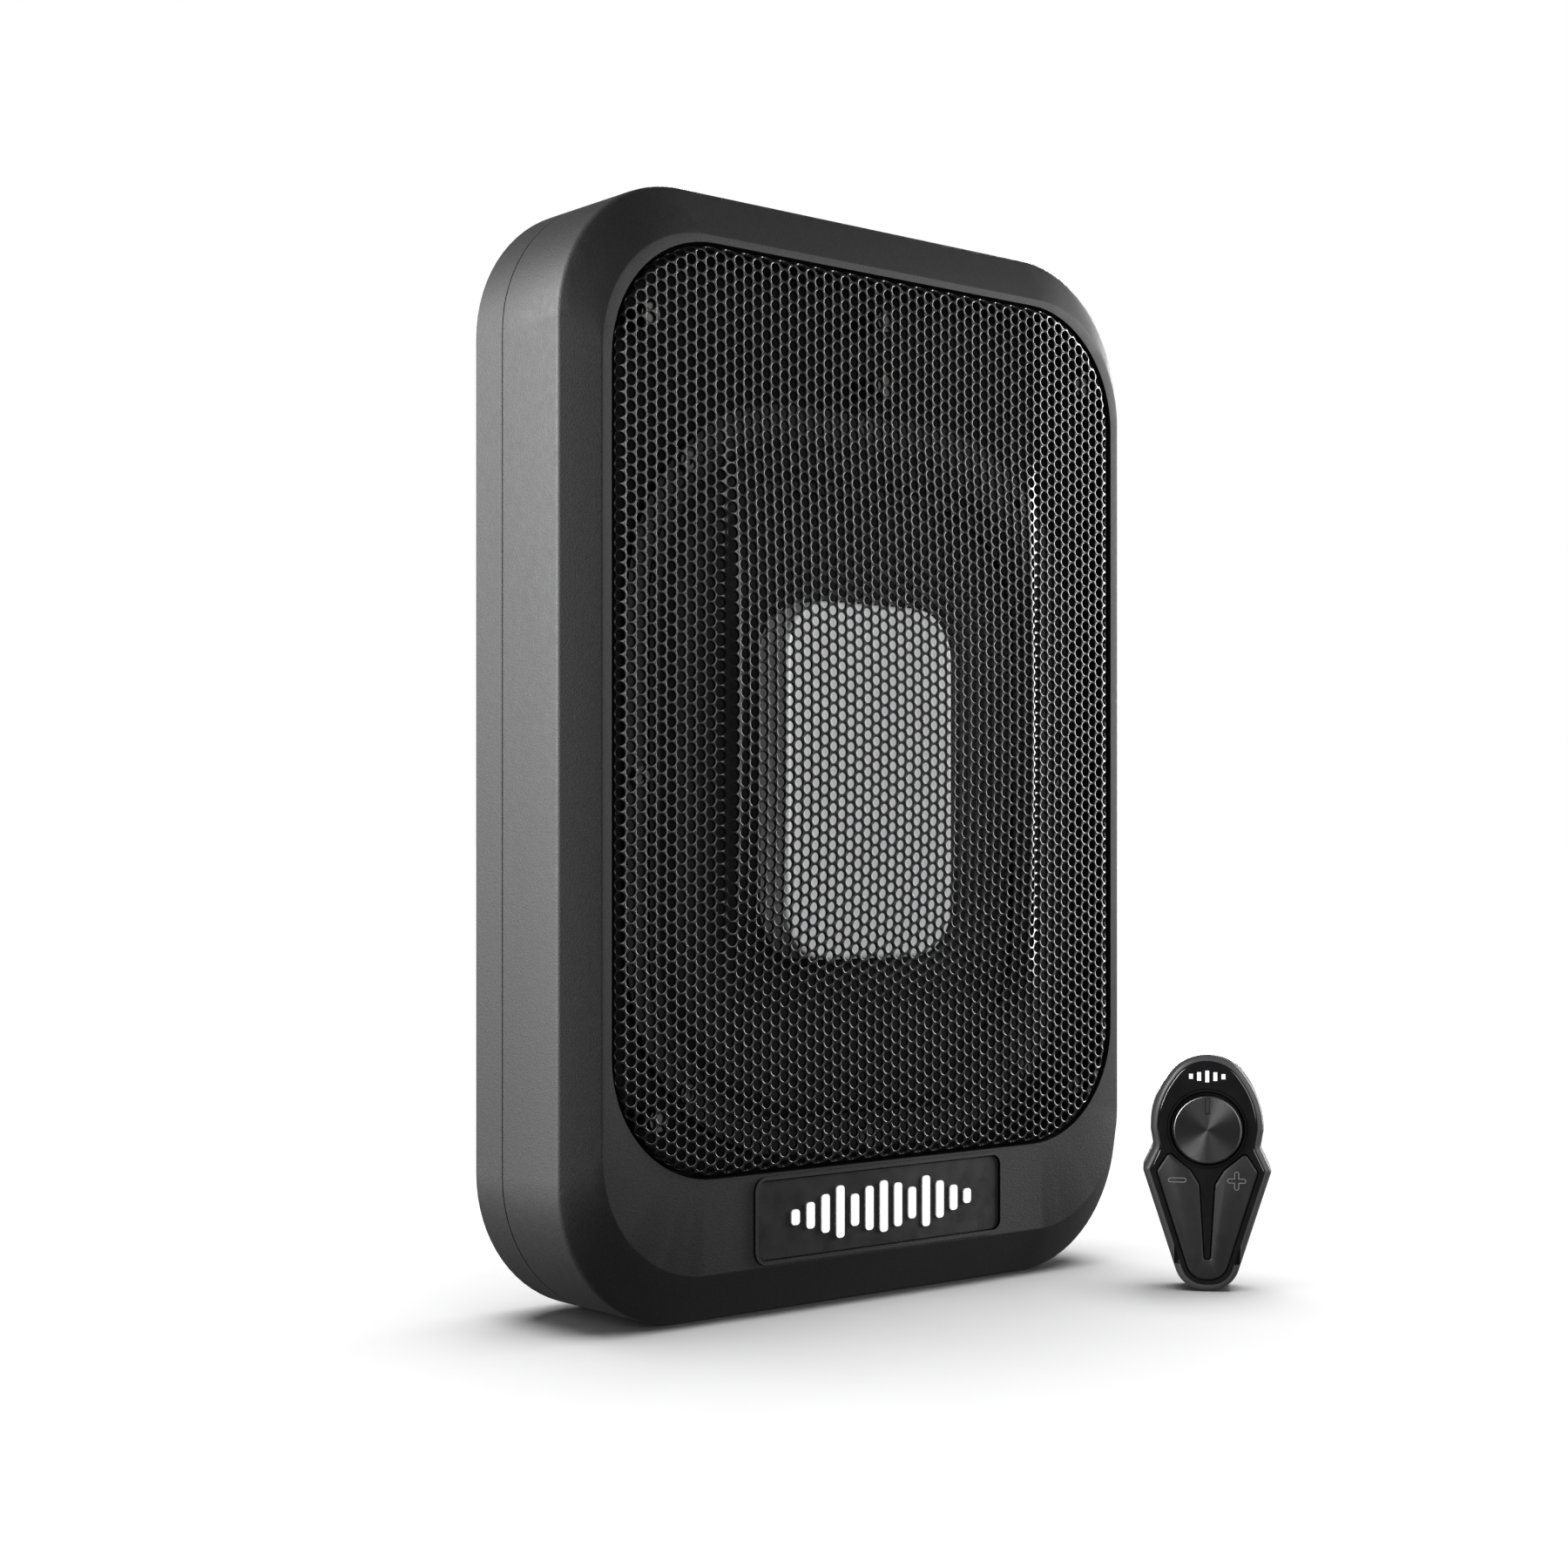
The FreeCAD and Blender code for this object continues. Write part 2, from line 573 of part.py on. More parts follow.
def spider():
    """A corrugated centring disc glued to the basket floor round its edge."""
    inner, outer = FORMER_R, MAGNET_R - 3.9
    count = 40
    front = []
    for i in range(count + 1):
        r = inner + (outer - inner) * i / count
        front.append((r, BASKET_FLOOR_Y - 2.2 + 1.0 * math.cos(math.pi * i / 4)))
    front.append((outer + 5, BASKET_FLOOR_Y - 0.6))
    back = [(r, y + 0.6) for r, y in front[::-1]]
    return lathe_y(front + back, 0, DRIVER_Z)


def top_plate():
    plate = rod_y(MAGNET_R - 2, TOP_PLATE_Y, MAGNET_Y, 0, DRIVER_Z)
    return plate.cut(rod_y(GAP_R, TOP_PLATE_Y - 1, MAGNET_Y + 1, 0, DRIVER_Z))


def magnet():
    ring_body = rod_y(MAGNET_R, MAGNET_Y, YOKE_Y, 0, DRIVER_Z)
    return ring_body.cut(rod_y(24, MAGNET_Y - 1, YOKE_Y + 1, 0, DRIVER_Z))


def yoke():
    plate = rod_y(MAGNET_R - 2, YOKE_Y, MOTOR_BACK_Y, 0, DRIVER_Z)
    pole = rod_y(POLE_R, TOP_PLATE_Y, YOKE_Y, 0, DRIVER_Z)
    return plate.fuse(pole).cut(rod_y(4, TOP_PLATE_Y - 1, MOTOR_BACK_Y + 1, 0, DRIVER_Z))


def driver_terminals():
    """A phenolic block under the basket floor with two push-on lugs."""
    z = DRIVER_Z + 50
    block = box(-62, -44, BASKET_FLOOR_Y + 2, BASKET_FLOOR_Y + 5, z - 3, z + 5)
    lugs = [box(x, x + 4.8, BASKET_FLOOR_Y + 5, BASKET_FLOOR_Y + 12, z, z + 0.8) for x in (-60, -51)]
    return fuse([block] + lugs)


# ---- amplifier ----
def amp_board():
    board = box(-BOARD_HALF_W, BOARD_HALF_W, BOARD_Y, BOARD_Y + BOARD_T, BOARD_LOW, BOARD_HIGH)
    holes = [rod_y(1.6, BOARD_Y - 1, BOARD_Y + 3, x, z) for x, z in STANDOFFS]
    return board.cut(Part.makeCompound(holes))


def board_standoffs():
    posts = []
    for x, z in STANDOFFS:
        post = rod_y(3.5, BOARD_Y + BOARD_T, SINK_Y, x, z)
        posts.append(post.cut(rod_y(1.55, BOARD_Y, SINK_Y - 1, x, z)))
    return Part.makeCompound(posts)


def board_screws():
    screws = []
    for x, z in STANDOFFS:
        head = rod_y(2.8, BOARD_Y - 2, BOARD_Y, x, z)
        screws.append(head.fuse(rod_y(1.5, BOARD_Y, BOARD_Y + 6, x, z)))
    return Part.makeCompound(screws)


def toroid_choke():
    ring_body = Part.makeTorus(12, 7, V(-52, BOARD_Y - 7.2, 308), V(0, 1, 0))
    return ring_body.fuse(rod_y(5.4, BOARD_Y - 10, BOARD_Y, -52, 308)).removeSplitter()


def capacitors():
    cans = []
    for x in (-8, 12, 32, 52):
        can = rod_y(8, BOARD_Y - 27, BOARD_Y, x, 310)
        can = can.cut(rod_y(5.5, BOARD_Y - 28, BOARD_Y - 26.6, x, 310))
        cans.append(can)
    return Part.makeCompound(cans)


def supply_transformer():
    core = box(-76, -44, BOARD_Y - 15, BOARD_Y, 252, 280)
    window = box(-70, -50, BOARD_Y - 16, BOARD_Y - 3, 255, 277)
    bobbin = box(-72, -48, BOARD_Y - 14, BOARD_Y - 1, 256, 276)
    return fuse([core.cut(window), bobbin])


def output_transistors():
    return Part.makeCompound(
        [box(x - 5, x + 5, SINK_Y - 7, SINK_Y - 2.5, 262, 277) for x in range(-60, 61, 24)]
    )


def heat_spreader():
    return box(-70, 70, SINK_Y - 2.5, SINK_Y, 258, 282)


# ---- control panel ----
def panel_screw_spots():
    return [(sx * 84.2, y) for sx in (-1, 1) for y in (16, 28)]


def control_panel():
    plate = box(-86.9, 86.9, NOTCH_Y + 0.8, 31.5, NOTCH_Z, PANEL_TOP)
    cuts = [rod_z(1.4, NOTCH_Z - 1, PANEL_TOP + 1, x, y) for x, y in panel_screw_spots()]
    for x0, x1, wide, _wall, _deep in SOCKETS.values():
        y0, y1 = PANEL_MID_Y - wide / 2, PANEL_MID_Y + wide / 2
        cuts.append(box(x0 - 0.1, x1 + 0.1, y0 - 0.1, y1 + 0.1, NOTCH_Z - 1, PANEL_TOP + 1))
    cuts.append(box(-51.1, -36.9, 18.9, 25.1, NOTCH_Z - 1, PANEL_TOP + 1))
    cuts += [rod_z(RCA_R + 0.1, NOTCH_Z - 1, PANEL_TOP + 1, x, PANEL_MID_Y) for x in RCA_XS]
    cuts += [rod_z(2.0, NOTCH_Z - 1, PANEL_TOP + 1, x, PANEL_MID_Y) for x in KNOB_XS.values()]
    cuts.append(rod_z(1.6, NOTCH_Z - 1, PANEL_TOP + 1, LED_X, PANEL_MID_Y))
    cuts.append(box(28.4, 35.6, 20.8, 23.2, NOTCH_Z - 1, PANEL_TOP + 1))
    return plate.cut(Part.makeCompound(cuts))


def panel_screws():
    screws = []
    for x, y in panel_screw_spots():
        head = rod_z(2.2, PANEL_TOP, PANEL_TOP + 1.4, x, y)
        screws.append(head.fuse(rod_z(1.05, NOTCH_Z - WALL, PANEL_TOP, x, y)))
    return Part.makeCompound(screws)


def socket(name):
    """An open-topped rectangular housing with its contacts on the floor."""
    x0, x1, wide, wall, deep = SOCKETS[name]
    y0, y1 = PANEL_MID_Y - wide / 2, PANEL_MID_Y + wide / 2
    floor = SOCKET_TOP - deep
    body = box(x0, x1, y0, y1, floor - 4, SOCKET_TOP)
    return body.cut(box(x0 + wall, x1 - wall, y0 + wall, y1 - wall, floor, SOCKET_TOP + 1))


def fuse_holder():
    """A blade fuse in its holder: the coloured top stands proud for pulling."""
    holder = box(-51, -37, 19, 25, NOTCH_Z - 9, PANEL_TOP + 1.5)
    return holder.cut(box(-50, -38, 19.8, 24.2, NOTCH_Z - 6, PANEL_TOP + 2))


def blade_fuse():
    body = box(-49.6, -38.4, 20.2, 23.8, NOTCH_Z - 5.9, PANEL_TOP + 4.5)
    return body.cut(box(-46, -42, 19, 25, PANEL_TOP + 2.6, PANEL_TOP + 5))


def rca_sockets():
    jacks = []
    for x in RCA_XS:
        jack = rod_z(RCA_R, NOTCH_Z - 6, RCA_TOP, x, PANEL_MID_Y)
        collar = rod_z(5.2, PANEL_TOP, PANEL_TOP + 0.9, x, PANEL_MID_Y)
        cup = rod_z(3.4, PANEL_TOP + 1, RCA_TOP + 1, x, PANEL_MID_Y)
        core = rod_z(2.6, PANEL_TOP - 1, RCA_TOP - 0.3, x, PANEL_MID_Y)
        centre = rod_z(1.65, PANEL_TOP - 3, RCA_TOP + 1, x, PANEL_MID_Y)
        jacks.append(jack.fuse(collar).cut(cup).fuse(core).cut(centre))
    return Part.makeCompound(jacks)


def pot_bodies():
    pots = []
    for x in KNOB_XS.values():
        body = box(x - 5, x + 5, PANEL_MID_Y - 5, PANEL_MID_Y + 5, NOTCH_Z - 8, NOTCH_Z - 0.1)
        pots.append(body.cut(rod_z(SHAFT_R + SHAFT_CLEAR, NOTCH_Z - 6, NOTCH_Z + 1, x, PANEL_MID_Y)))
    return Part.makeCompound(pots)


def panel_knob(x):
    """A ribbed trim knob with a pointer slot across its top."""
    skirt = rod_z(KNOB_R, PANEL_TOP + 0.4, KNOB_TOP, x, PANEL_MID_Y)
    shaft = rod_z(SHAFT_R, NOTCH_Z - 5.8, PANEL_TOP + 1, x, PANEL_MID_Y)
    knob = skirt.fuse(shaft)
    flutes = []
    for i in range(16):
        a = 2 * math.pi * i / 16
        spot = (x + KNOB_R * math.cos(a), PANEL_MID_Y + KNOB_R * math.sin(a))
        flutes.append(rod_z(0.45, PANEL_TOP, KNOB_TOP - 0.8, *spot))
    slot = box(x - 0.5, x + 0.5, PANEL_MID_Y, PANEL_MID_Y + 5, KNOB_TOP - 0.6, KNOB_TOP + 1)
    return knob.cut(Part.makeCompound(flutes + [slot])).removeSplitter()


def phase_switch_body():
    body = box(27, 37, 19, 25, NOTCH_Z - 9, NOTCH_Z - 0.2)
    return body.cut(box(28.4, 35.6, 20.8, 23.2, NOTCH_Z - 5, NOTCH_Z))


def phase_slider():
    x0 = SLIDER_X - 1.6
    return box(x0, x0 + 3.2, 21.1, 22.9, NOTCH_Z - 4.6, PANEL_TOP + 3)


def power_led():
    lens = rod_z(1.5, NOTCH_Z - 3, PANEL_TOP + 0.6, LED_X, PANEL_MID_Y)
    dome = Part.makeSphere(1.5, V(LED_X, PANEL_MID_Y, PANEL_TOP + 0.6))
    return lens.fuse(dome).removeSplitter()


# ---- back fixings ----
def threaded_inserts():
    inserts = []
    for x, z in INSERTS:
        body = rod_y(3.5, BACK_Y - INSERT_LENGTH, BACK_Y, x, z)
        inserts.append(body.cut(rod_y(INSERT_BORE_R, BACK_Y - INSERT_LENGTH, BACK_Y + 1, x, z)))
    return Part.makeCompound(inserts)


def rear_feet():
    feet = []
    for x, z in FEET:
        start, end = BACK_Y - 0.8, BACK_Y + FOOT_H
        profile = [(0, start), (FOOT_R, start), (FOOT_R, end - 1), (FOOT_R - 1, end), (0, end)]
        feet.append(lathe_y(profile, x, z))
    return Part.makeCompound(feet)


# ---- remote ----
def set_down(shape):
    """Turn a piece drawn about the remote's own middle and put it in its place."""
    shape.rotate(V(), V(0, 0, 1), REMOTE_TURN)
    shape.translate(REMOTE_AT)
    return shape


def remote_outline():
    return both_halves(REMOTE_OUTLINE)


def jack_mouth():
    return box(-5, 5, -3.4, 3.4, -1, 13)


def jack_seat():
    return fuse([jack_mouth(), box(-6.25, 6.25, -4.15, 5.25, 1.85, 16.1)])


def remote_back_shell():
    back = REMOTE_BACK_Y
    steps = [(0.5, back - 0.5), (0, back - 1.6)]
    body = bevelled_prism(remote_outline(), (1.6, back), steps, REMOTE_PART_Y)
    body = body.cut(grown_prism(remote_outline(), -1.8, REMOTE_PART_Y - 1, REMOTE_BACK_Y - 2))
    posts = [rod_y(3, REMOTE_PART_Y, REMOTE_BACK_Y - 1, 0, z) for z in REMOTE_SCREW_ZS]
    body = body.fuse(fuse(posts))
    holes = [rod_y(1.3, REMOTE_PART_Y - 1, REMOTE_BACK_Y + 1, 0, z) for z in REMOTE_SCREW_ZS]
    holes += [rod_y(2.6, REMOTE_BACK_Y - 1.8, REMOTE_BACK_Y + 1, 0, z) for z in REMOTE_SCREW_ZS]
    body = body.cut(fuse(holes)).cut(jack_seat())
    return set_down(body.removeSplitter())


def remote_front_shell():
    front = REMOTE_FRONT_Y
    steps = [(1.0, front + 0.4), (0.35, front + 1.1), (0, front + 2.0)]
    body = bevelled_prism(remote_outline(), (1.9, front), steps, REMOTE_PART_Y)
    body = body.cut(grown_prism(remote_outline(), -REMOTE_SEAT, REMOTE_FRONT_Y - 1, REMOTE_FRONT_Y + 1))
    body = body.cut(grown_prism(remote_outline(), -1.8, REMOTE_PART_Y - 2.2, REMOTE_PART_Y + 1))
    pad = both_halves(REMOTE_PAD)
    pad_well = grown_prism(pad, 0.6, REMOTE_FRONT_Y - 1, -5.4)
    web_well = box(-11, 11, REMOTE_FRONT_Y - 1, -5.4, 9, 37)
    plungers = [rod_y(2.2, -6, REMOTE_PART_Y, sx * 10, 30) for sx in (-1, 1)]
    knob_hole = rod_y(7.5, REMOTE_FRONT_Y - 1, REMOTE_PART_Y, 0, REMOTE_KNOB_Z)
    body = body.cut(fuse([pad_well, web_well, knob_hole] + plungers)).cut(jack_seat())
    upper = REMOTE_SCREW_ZS[1]
    pilot = rod_y(2.4, -5, REMOTE_PART_Y, 0, upper)
    body = body.fuse(pilot).cut(rod_y(1.1, -4.6, 0, 0, upper))
    return set_down(body.removeSplitter())


def remote_faceplate():
    face = REMOTE_FACE_Y
    start, steps = (REMOTE_SEAT + 0.4, face), [(REMOTE_SEAT + 0.05, face + 0.35)]
    body = bevelled_prism(remote_outline(), start, steps, REMOTE_FRONT_Y + 1)
    pad = grown_prism(both_halves(REMOTE_PAD), REMOTE_PAD_GAP, REMOTE_FACE_Y - 1, -5)
    well = rod_y(REMOTE_WELL_R, REMOTE_FACE_Y - 1, -5, 0, REMOTE_KNOB_Z)
    return set_down(body.cut(pad).cut(well))


def remote_knob_ring():
    """A dished trim ring in the well round the knob."""
    outer, inner = REMOTE_WELL_R - 0.05, 7.6
    profile = [
        (inner, REMOTE_FRONT_Y + 1),
        (outer, REMOTE_FRONT_Y + 1),
        (outer, REMOTE_FACE_Y - 0.2),
        (outer - 0.7, REMOTE_FACE_Y - 0.2),
        (outer - 1.3, REMOTE_FRONT_Y + 0.2),
        (inner, REMOTE_FRONT_Y + 0.2),
    ]
    return set_down(lathe_y(profile, 0, REMOTE_KNOB_Z))


def remote_knob():
    front, rear = REMOTE_KNOB_FRONT_Y, REMOTE_FRONT_Y - 0.3
    profile = [
        (0, rear),
        (REMOTE_KNOB_R - 0.3, rear),
        (REMOTE_KNOB_R, rear - 0.4),
        (REMOTE_KNOB_R - 0.1, front + 0.5),
        (REMOTE_KNOB_R - 0.55, front),
        (0, front),
    ]
    body = lathe_y(profile, 0, REMOTE_KNOB_Z)
    pointer = box(-0.75, 0.75, front - 1, front + 0.5, REMOTE_KNOB_Z + 5.4, REMOTE_KNOB_Z + 10.7)
    shaft = rod_y(REMOTE_SHAFT_R, rear - 0.5, -2.6, 0, REMOTE_KNOB_Z)
    return set_down(body.cut(pointer).fuse(shaft).removeSplitter())


def remote_rocker():
    front = REMOTE_PAD_FRONT_Y
    steps = [(0, front + 0.35)]
    pad = bevelled_prism(both_halves(REMOTE_PAD), (0.35, front), steps, REMOTE_PAD_BACK_Y)
    web = box(-7.5, 7.5, REMOTE_PAD_BACK_Y - 0.01, REMOTE_RIB_Y, 13, 34)
    rib = rod_z(0.65, 13, 34, 0, REMOTE_RIB_Y)
    plungers = [rod_y(1.5, REMOTE_PAD_BACK_Y - 0.5, -3.9, sx * 10, 30) for sx in (-1, 1)]
    return set_down(fuse([pad, web, rib] + plungers))


def remote_encoder():
    body = box(-6, 6, -4.0, 1, REMOTE_KNOB_Z - 6, REMOTE_KNOB_Z + 6)
    return set_down(body.cut(rod_y(REMOTE_SHAFT_R + SHAFT_CLEAR, -5, -2.3, 0, REMOTE_KNOB_Z)))


def remote_board():
    board = grown_prism(remote_outline(), -2.6, 1.0, 2.2)
    board = board.cut(box(-30, 30, 0, 3, -1, 16.5))
    holes = [rod_y(3.3, 0, 3, 0, z) for z in REMOTE_SCREW_ZS]
    return set_down(board.cut(Part.makeCompound(holes)))


def remote_switches():
    bodies = []
    for sx in (-1, 1):
        case = box(sx * 10 - 3, sx * 10 + 3, -2.2, 1, 27, 33)
        bodies.append(case.fuse(rod_y(1.4, -3.0, -2.2, sx * 10, 30)))
    return set_down(Part.makeCompound(bodies))


def remote_jack():
    body = box(-6.2, 6.2, -4.1, 5.2, 1.9, 16)
    return set_down(body.cut(jack_mouth()))


def remote_screws():
    screws = []
    for z, depth in zip(REMOTE_SCREW_ZS, (REMOTE_PART_Y, -4)):
        head = rod_y(2.4, REMOTE_BACK_Y - 1.7, REMOTE_BACK_Y - 0.2, 0, z)
        screws.append(head.fuse(rod_y(1.0, depth, REMOTE_BACK_Y - 1.7, 0, z)))
    return set_down(Part.makeCompound(screws))


def remote_mark():
    bars = []
    for i, tall in enumerate(REMOTE_MARK_BARS):
        low, high = REMOTE_MARK_Z - tall / 2, REMOTE_MARK_Z + tall / 2
        bar = box(-0.65, 0.65, REMOTE_FACE_Y - 0.15, REMOTE_FACE_Y, low, high)
        bar.translate(V((i - 2) * 2.7, 0, 0))
        bars.append(bar)
    return set_down(Part.makeCompound(bars))


# ---- every node ----
NODES = {
    "front_shell": front_shell,
    "rear_shell": rear_shell,
    "seam_gasket": seam_gasket,
    "shell_screws": shell_screws,
    "grille": grille,
    "grille_posts": grille_posts,
    "badge_plate": badge_plate,
    "badge_mark": badge_mark,
    "driver_gasket": driver_gasket,
    "driver_basket": driver_basket,
    "driver_screws": driver_screws,
    "surround": surround,
    "cone": cone,
    "cone_plate": cone_plate,
    "voice_coil_former": voice_coil_former,
    "voice_coil": voice_coil,
    "spider": spider,
    "top_plate": top_plate,
    "magnet": magnet,
    "yoke": yoke,
    "driver_terminals": driver_terminals,
    "amp_board": amp_board,
    "board_standoffs": board_standoffs,
    "board_screws": board_screws,
    "toroid_choke": toroid_choke,
    "capacitors": capacitors,
    "supply_transformer": supply_transformer,
    "output_transistors": output_transistors,
    "heat_spreader": heat_spreader,
    "control_panel": control_panel,
    "panel_screws": panel_screws,
    "power_socket": lambda: socket("power_socket"),
    "high_level_socket": lambda: socket("high_level_socket"),
    "remote_port": lambda: socket("remote_port"),
    "fuse_holder": fuse_holder,
    "blade_fuse": blade_fuse,
    "rca_sockets": rca_sockets,
    "pot_bodies": pot_bodies,
    "gain_knob": lambda: panel_knob(KNOB_XS["gain_knob"]),
    "lowpass_knob": lambda: panel_knob(KNOB_XS["lowpass_knob"]),
    "boost_knob": lambda: panel_knob(KNOB_XS["boost_knob"]),
    "phase_switch_body": phase_switch_body,
    "phase_slider": phase_slider,
    "power_led": power_led,
    "threaded_inserts": threaded_inserts,
    "rear_feet": rear_feet,
    "remote_back_shell": remote_back_shell,
    "remote_front_shell": remote_front_shell,
    "remote_faceplate": remote_faceplate,
    "remote_knob_ring": remote_knob_ring,
    "remote_knob": remote_knob,
    "remote_rocker": remote_rocker,
    "remote_encoder": remote_encoder,
    "remote_board": remote_board,
    "remote_switches": remote_switches,
    "remote_jack": remote_jack,
    "remote_screws": remote_screws,
    "remote_mark": remote_mark,
}

os.makedirs("parts", exist_ok=True)
for node, make in NODES.items():
    shape = make()
    if not shape.isValid():
        print("invalid shape:", node)
    shape.exportStep("parts/" + node + ".step")
    print(node, len(shape.Solids), "solids", round(shape.Volume / 1000, 3), "cm3")
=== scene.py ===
"""Looks of the slim powered car subwoofer and its remote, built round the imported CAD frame.

Metres, in the frame's own axes: +X right, +Y back, +Z up, standing on the short end.
"""
import bpy
import bmesh
import json
import math
import numpy as np
from mathutils import Matrix, Vector


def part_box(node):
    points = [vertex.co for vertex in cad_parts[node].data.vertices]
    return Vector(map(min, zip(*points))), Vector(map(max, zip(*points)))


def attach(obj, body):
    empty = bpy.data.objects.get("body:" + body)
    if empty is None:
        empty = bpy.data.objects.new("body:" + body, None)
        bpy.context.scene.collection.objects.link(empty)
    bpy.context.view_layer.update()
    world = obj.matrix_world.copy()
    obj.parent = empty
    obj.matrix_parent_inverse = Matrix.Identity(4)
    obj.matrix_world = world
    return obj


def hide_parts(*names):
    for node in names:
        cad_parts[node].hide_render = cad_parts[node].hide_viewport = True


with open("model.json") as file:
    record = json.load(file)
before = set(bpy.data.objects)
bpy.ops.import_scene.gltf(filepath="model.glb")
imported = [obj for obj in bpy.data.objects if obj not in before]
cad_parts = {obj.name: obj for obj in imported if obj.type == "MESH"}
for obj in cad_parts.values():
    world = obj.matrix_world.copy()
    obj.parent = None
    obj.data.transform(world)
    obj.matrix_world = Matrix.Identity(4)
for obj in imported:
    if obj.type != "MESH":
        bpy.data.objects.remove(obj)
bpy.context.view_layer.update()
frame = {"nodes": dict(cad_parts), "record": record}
NODES = frame["nodes"]
MM = 0.001

# ---- sizes the visual pieces share with the frame ----
GRILLE_LOW, GRILLE_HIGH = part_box("grille")
SHELL_LOW, SHELL_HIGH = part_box("front_shell")
SHELL_MID_Z = (SHELL_LOW.z + SHELL_HIGH.z) / 2
INSIDE_FROM_Y = -19.5 * MM  # the front shell's inside faces behind this depth get a darker colour as painted shade
INSIDE_HALF_W = 116.0 * MM

HOLE_PITCH = 4.0 * MM
COLUMN_STEP = 3.72 * MM
HOLE_R = 1.6 * MM
HOLE_EDGE = 0.3 * MM  # rounding at the mouth of each hole
SHEET_T = 1.0 * MM
ROLL_R = 3.0 * MM  # the sheet's edge rolls back round this radius
OUTLINE_R = GRILLE_HIGH.x - 71.0 * MM  # corner radius of the grille's outline
FACE_Y = -32.6 * MM  # flat middle of the sheet
EDGE_Y = -30.3 * MM  # where the tilted side bands end
TILT_FROM = 69.0 * MM
BOW_HALF_W = 69.9 * MM
BOW_LOW, BOW_HIGH = 97.6 * MM, 287.0 * MM
BOW_RISE = 3.25 * MM
BOW_STEP = 3.8 * MM  # width of the drawn side of the bowed panel

# ---- camera ----
LENS = 57.26
CAMERA_AT = (-0.5573, -0.6432, 0.1517)
CAMERA_TURN = -40.0
SHIFT_Y = 0.0372


# ---- scene helpers ----
def link(obj):
    bpy.context.scene.collection.objects.link(obj)
    return obj


def mesh_object(name, verts, faces, sharp_deg=35.0):
    mesh = bpy.data.meshes.new(name)
    mesh.from_pydata([tuple(v) for v in verts], [], [tuple(f) for f in faces])
    mesh.validate()
    mesh.shade_smooth()
    mesh.set_sharp_from_angle(angle=math.radians(sharp_deg))
    return link(bpy.data.objects.new(name, mesh))


def paint(obj, mat):
    obj.data.materials.clear()
    obj.data.materials.append(mat)
    return obj


def area_light(name, at, towards, size, watts):
    light = bpy.data.lights.new(name, "AREA")
    light.shape = "RECTANGLE"
    light.size, light.size_y = size
    light.energy = watts
    obj = link(bpy.data.objects.new(name, light))
    obj.location = at
    aim = Vector(towards) - Vector(at)
    obj.rotation_euler = aim.to_track_quat("-Z", "Y").to_euler()
    return obj


# ---- material helpers ----
class Nodes:
    """A small wrapper for building a node tree."""

    def __init__(self, name):
        self.mat = bpy.data.materials.new(name)
        self.mat.use_nodes = True
        self.tree = self.mat.node_tree
        self.shader = self.tree.nodes["Principled BSDF"]
        self.coords = self.add("ShaderNodeTexCoord").outputs["Object"]

    def add(self, kind, **settings):
        node = self.tree.nodes.new(kind)
        for key, value in settings.items():
            setattr(node, key, value)
        return node

    def link(self, source, target):
        self.tree.links.new(source, target)

    def noise(self, size_mm, detail=3.0, rough=0.6, stretch=(1, 1, 1)):
        """Noise whose features are about size_mm across."""
        mapping = self.add("ShaderNodeMapping")
        mapping.inputs["Scale"].default_value = stretch
        self.link(self.coords, mapping.inputs["Vector"])
        node = self.add("ShaderNodeTexNoise")
        node.inputs["Scale"].default_value = 1.0 / (size_mm * MM)
        node.inputs["Detail"].default_value = detail
        node.inputs["Roughness"].default_value = rough
        self.link(mapping.outputs["Vector"], node.inputs["Vector"])
        return node.outputs["Fac"]

    def ramp(self, source, low, high, start=0.3, end=0.7):
        """A smooth run of colour from low to high."""
        node = self.add("ShaderNodeValToRGB")
        node.color_ramp.elements[0].position = start
        node.color_ramp.elements[1].position = end
        node.color_ramp.elements[0].color = (*low, 1)
        node.color_ramp.elements[1].color = (*high, 1)
        self.link(source, node.inputs["Fac"])
        return node.outputs["Color"]

    def spread(self, source, low, high):
        node = self.add("ShaderNodeMapRange")
        node.inputs["From Min"].default_value = 0.3
        node.inputs["From Max"].default_value = 0.7
        node.inputs["To Min"].default_value = low
        node.inputs["To Max"].default_value = high
        self.link(source, node.inputs["Value"])
        return node.outputs["Result"]

    def bump(self, source, height_mm, after=None):
        node = self.add("ShaderNodeBump")
        node.inputs["Strength"].default_value = 1.0
        node.inputs["Distance"].default_value = height_mm * MM
        self.link(source, node.inputs["Height"])
        if after is not None:
            self.link(after, node.inputs["Normal"])
        return node.outputs["Normal"]

    def finish(self, colour, rough, normal=None, **values):
        self.link(colour, self.shader.inputs["Base Color"])
        self.link(rough, self.shader.inputs["Roughness"])
        if normal is not None:
            self.link(normal, self.shader.inputs["Normal"])
        for key, value in values.items():
            self.shader.inputs[key.replace("_", " ")].default_value = value
        return self.mat


def shade(colour, by):
    return tuple(min(c * by, 1.0) for c in colour)


def coat(name, colour, rough, grain_mm, height_mm, vary=0.12, rough_vary=0.06, **values):
    """A general moulded or coated surface: grain, slow colour drift and uneven gloss."""
    n = Nodes(name)
    grain = n.noise(grain_mm, 2.0)
    drift = n.noise(grain_mm * 60, 4.0)
    tint = n.ramp(drift, shade(colour, 1 - vary), shade(colour, 1 + vary))
    gloss = n.spread(n.noise(grain_mm * 14, 3.0), rough - rough_vary, rough + rough_vary)
    return n.finish(tint, gloss, n.bump(grain, height_mm), **values)


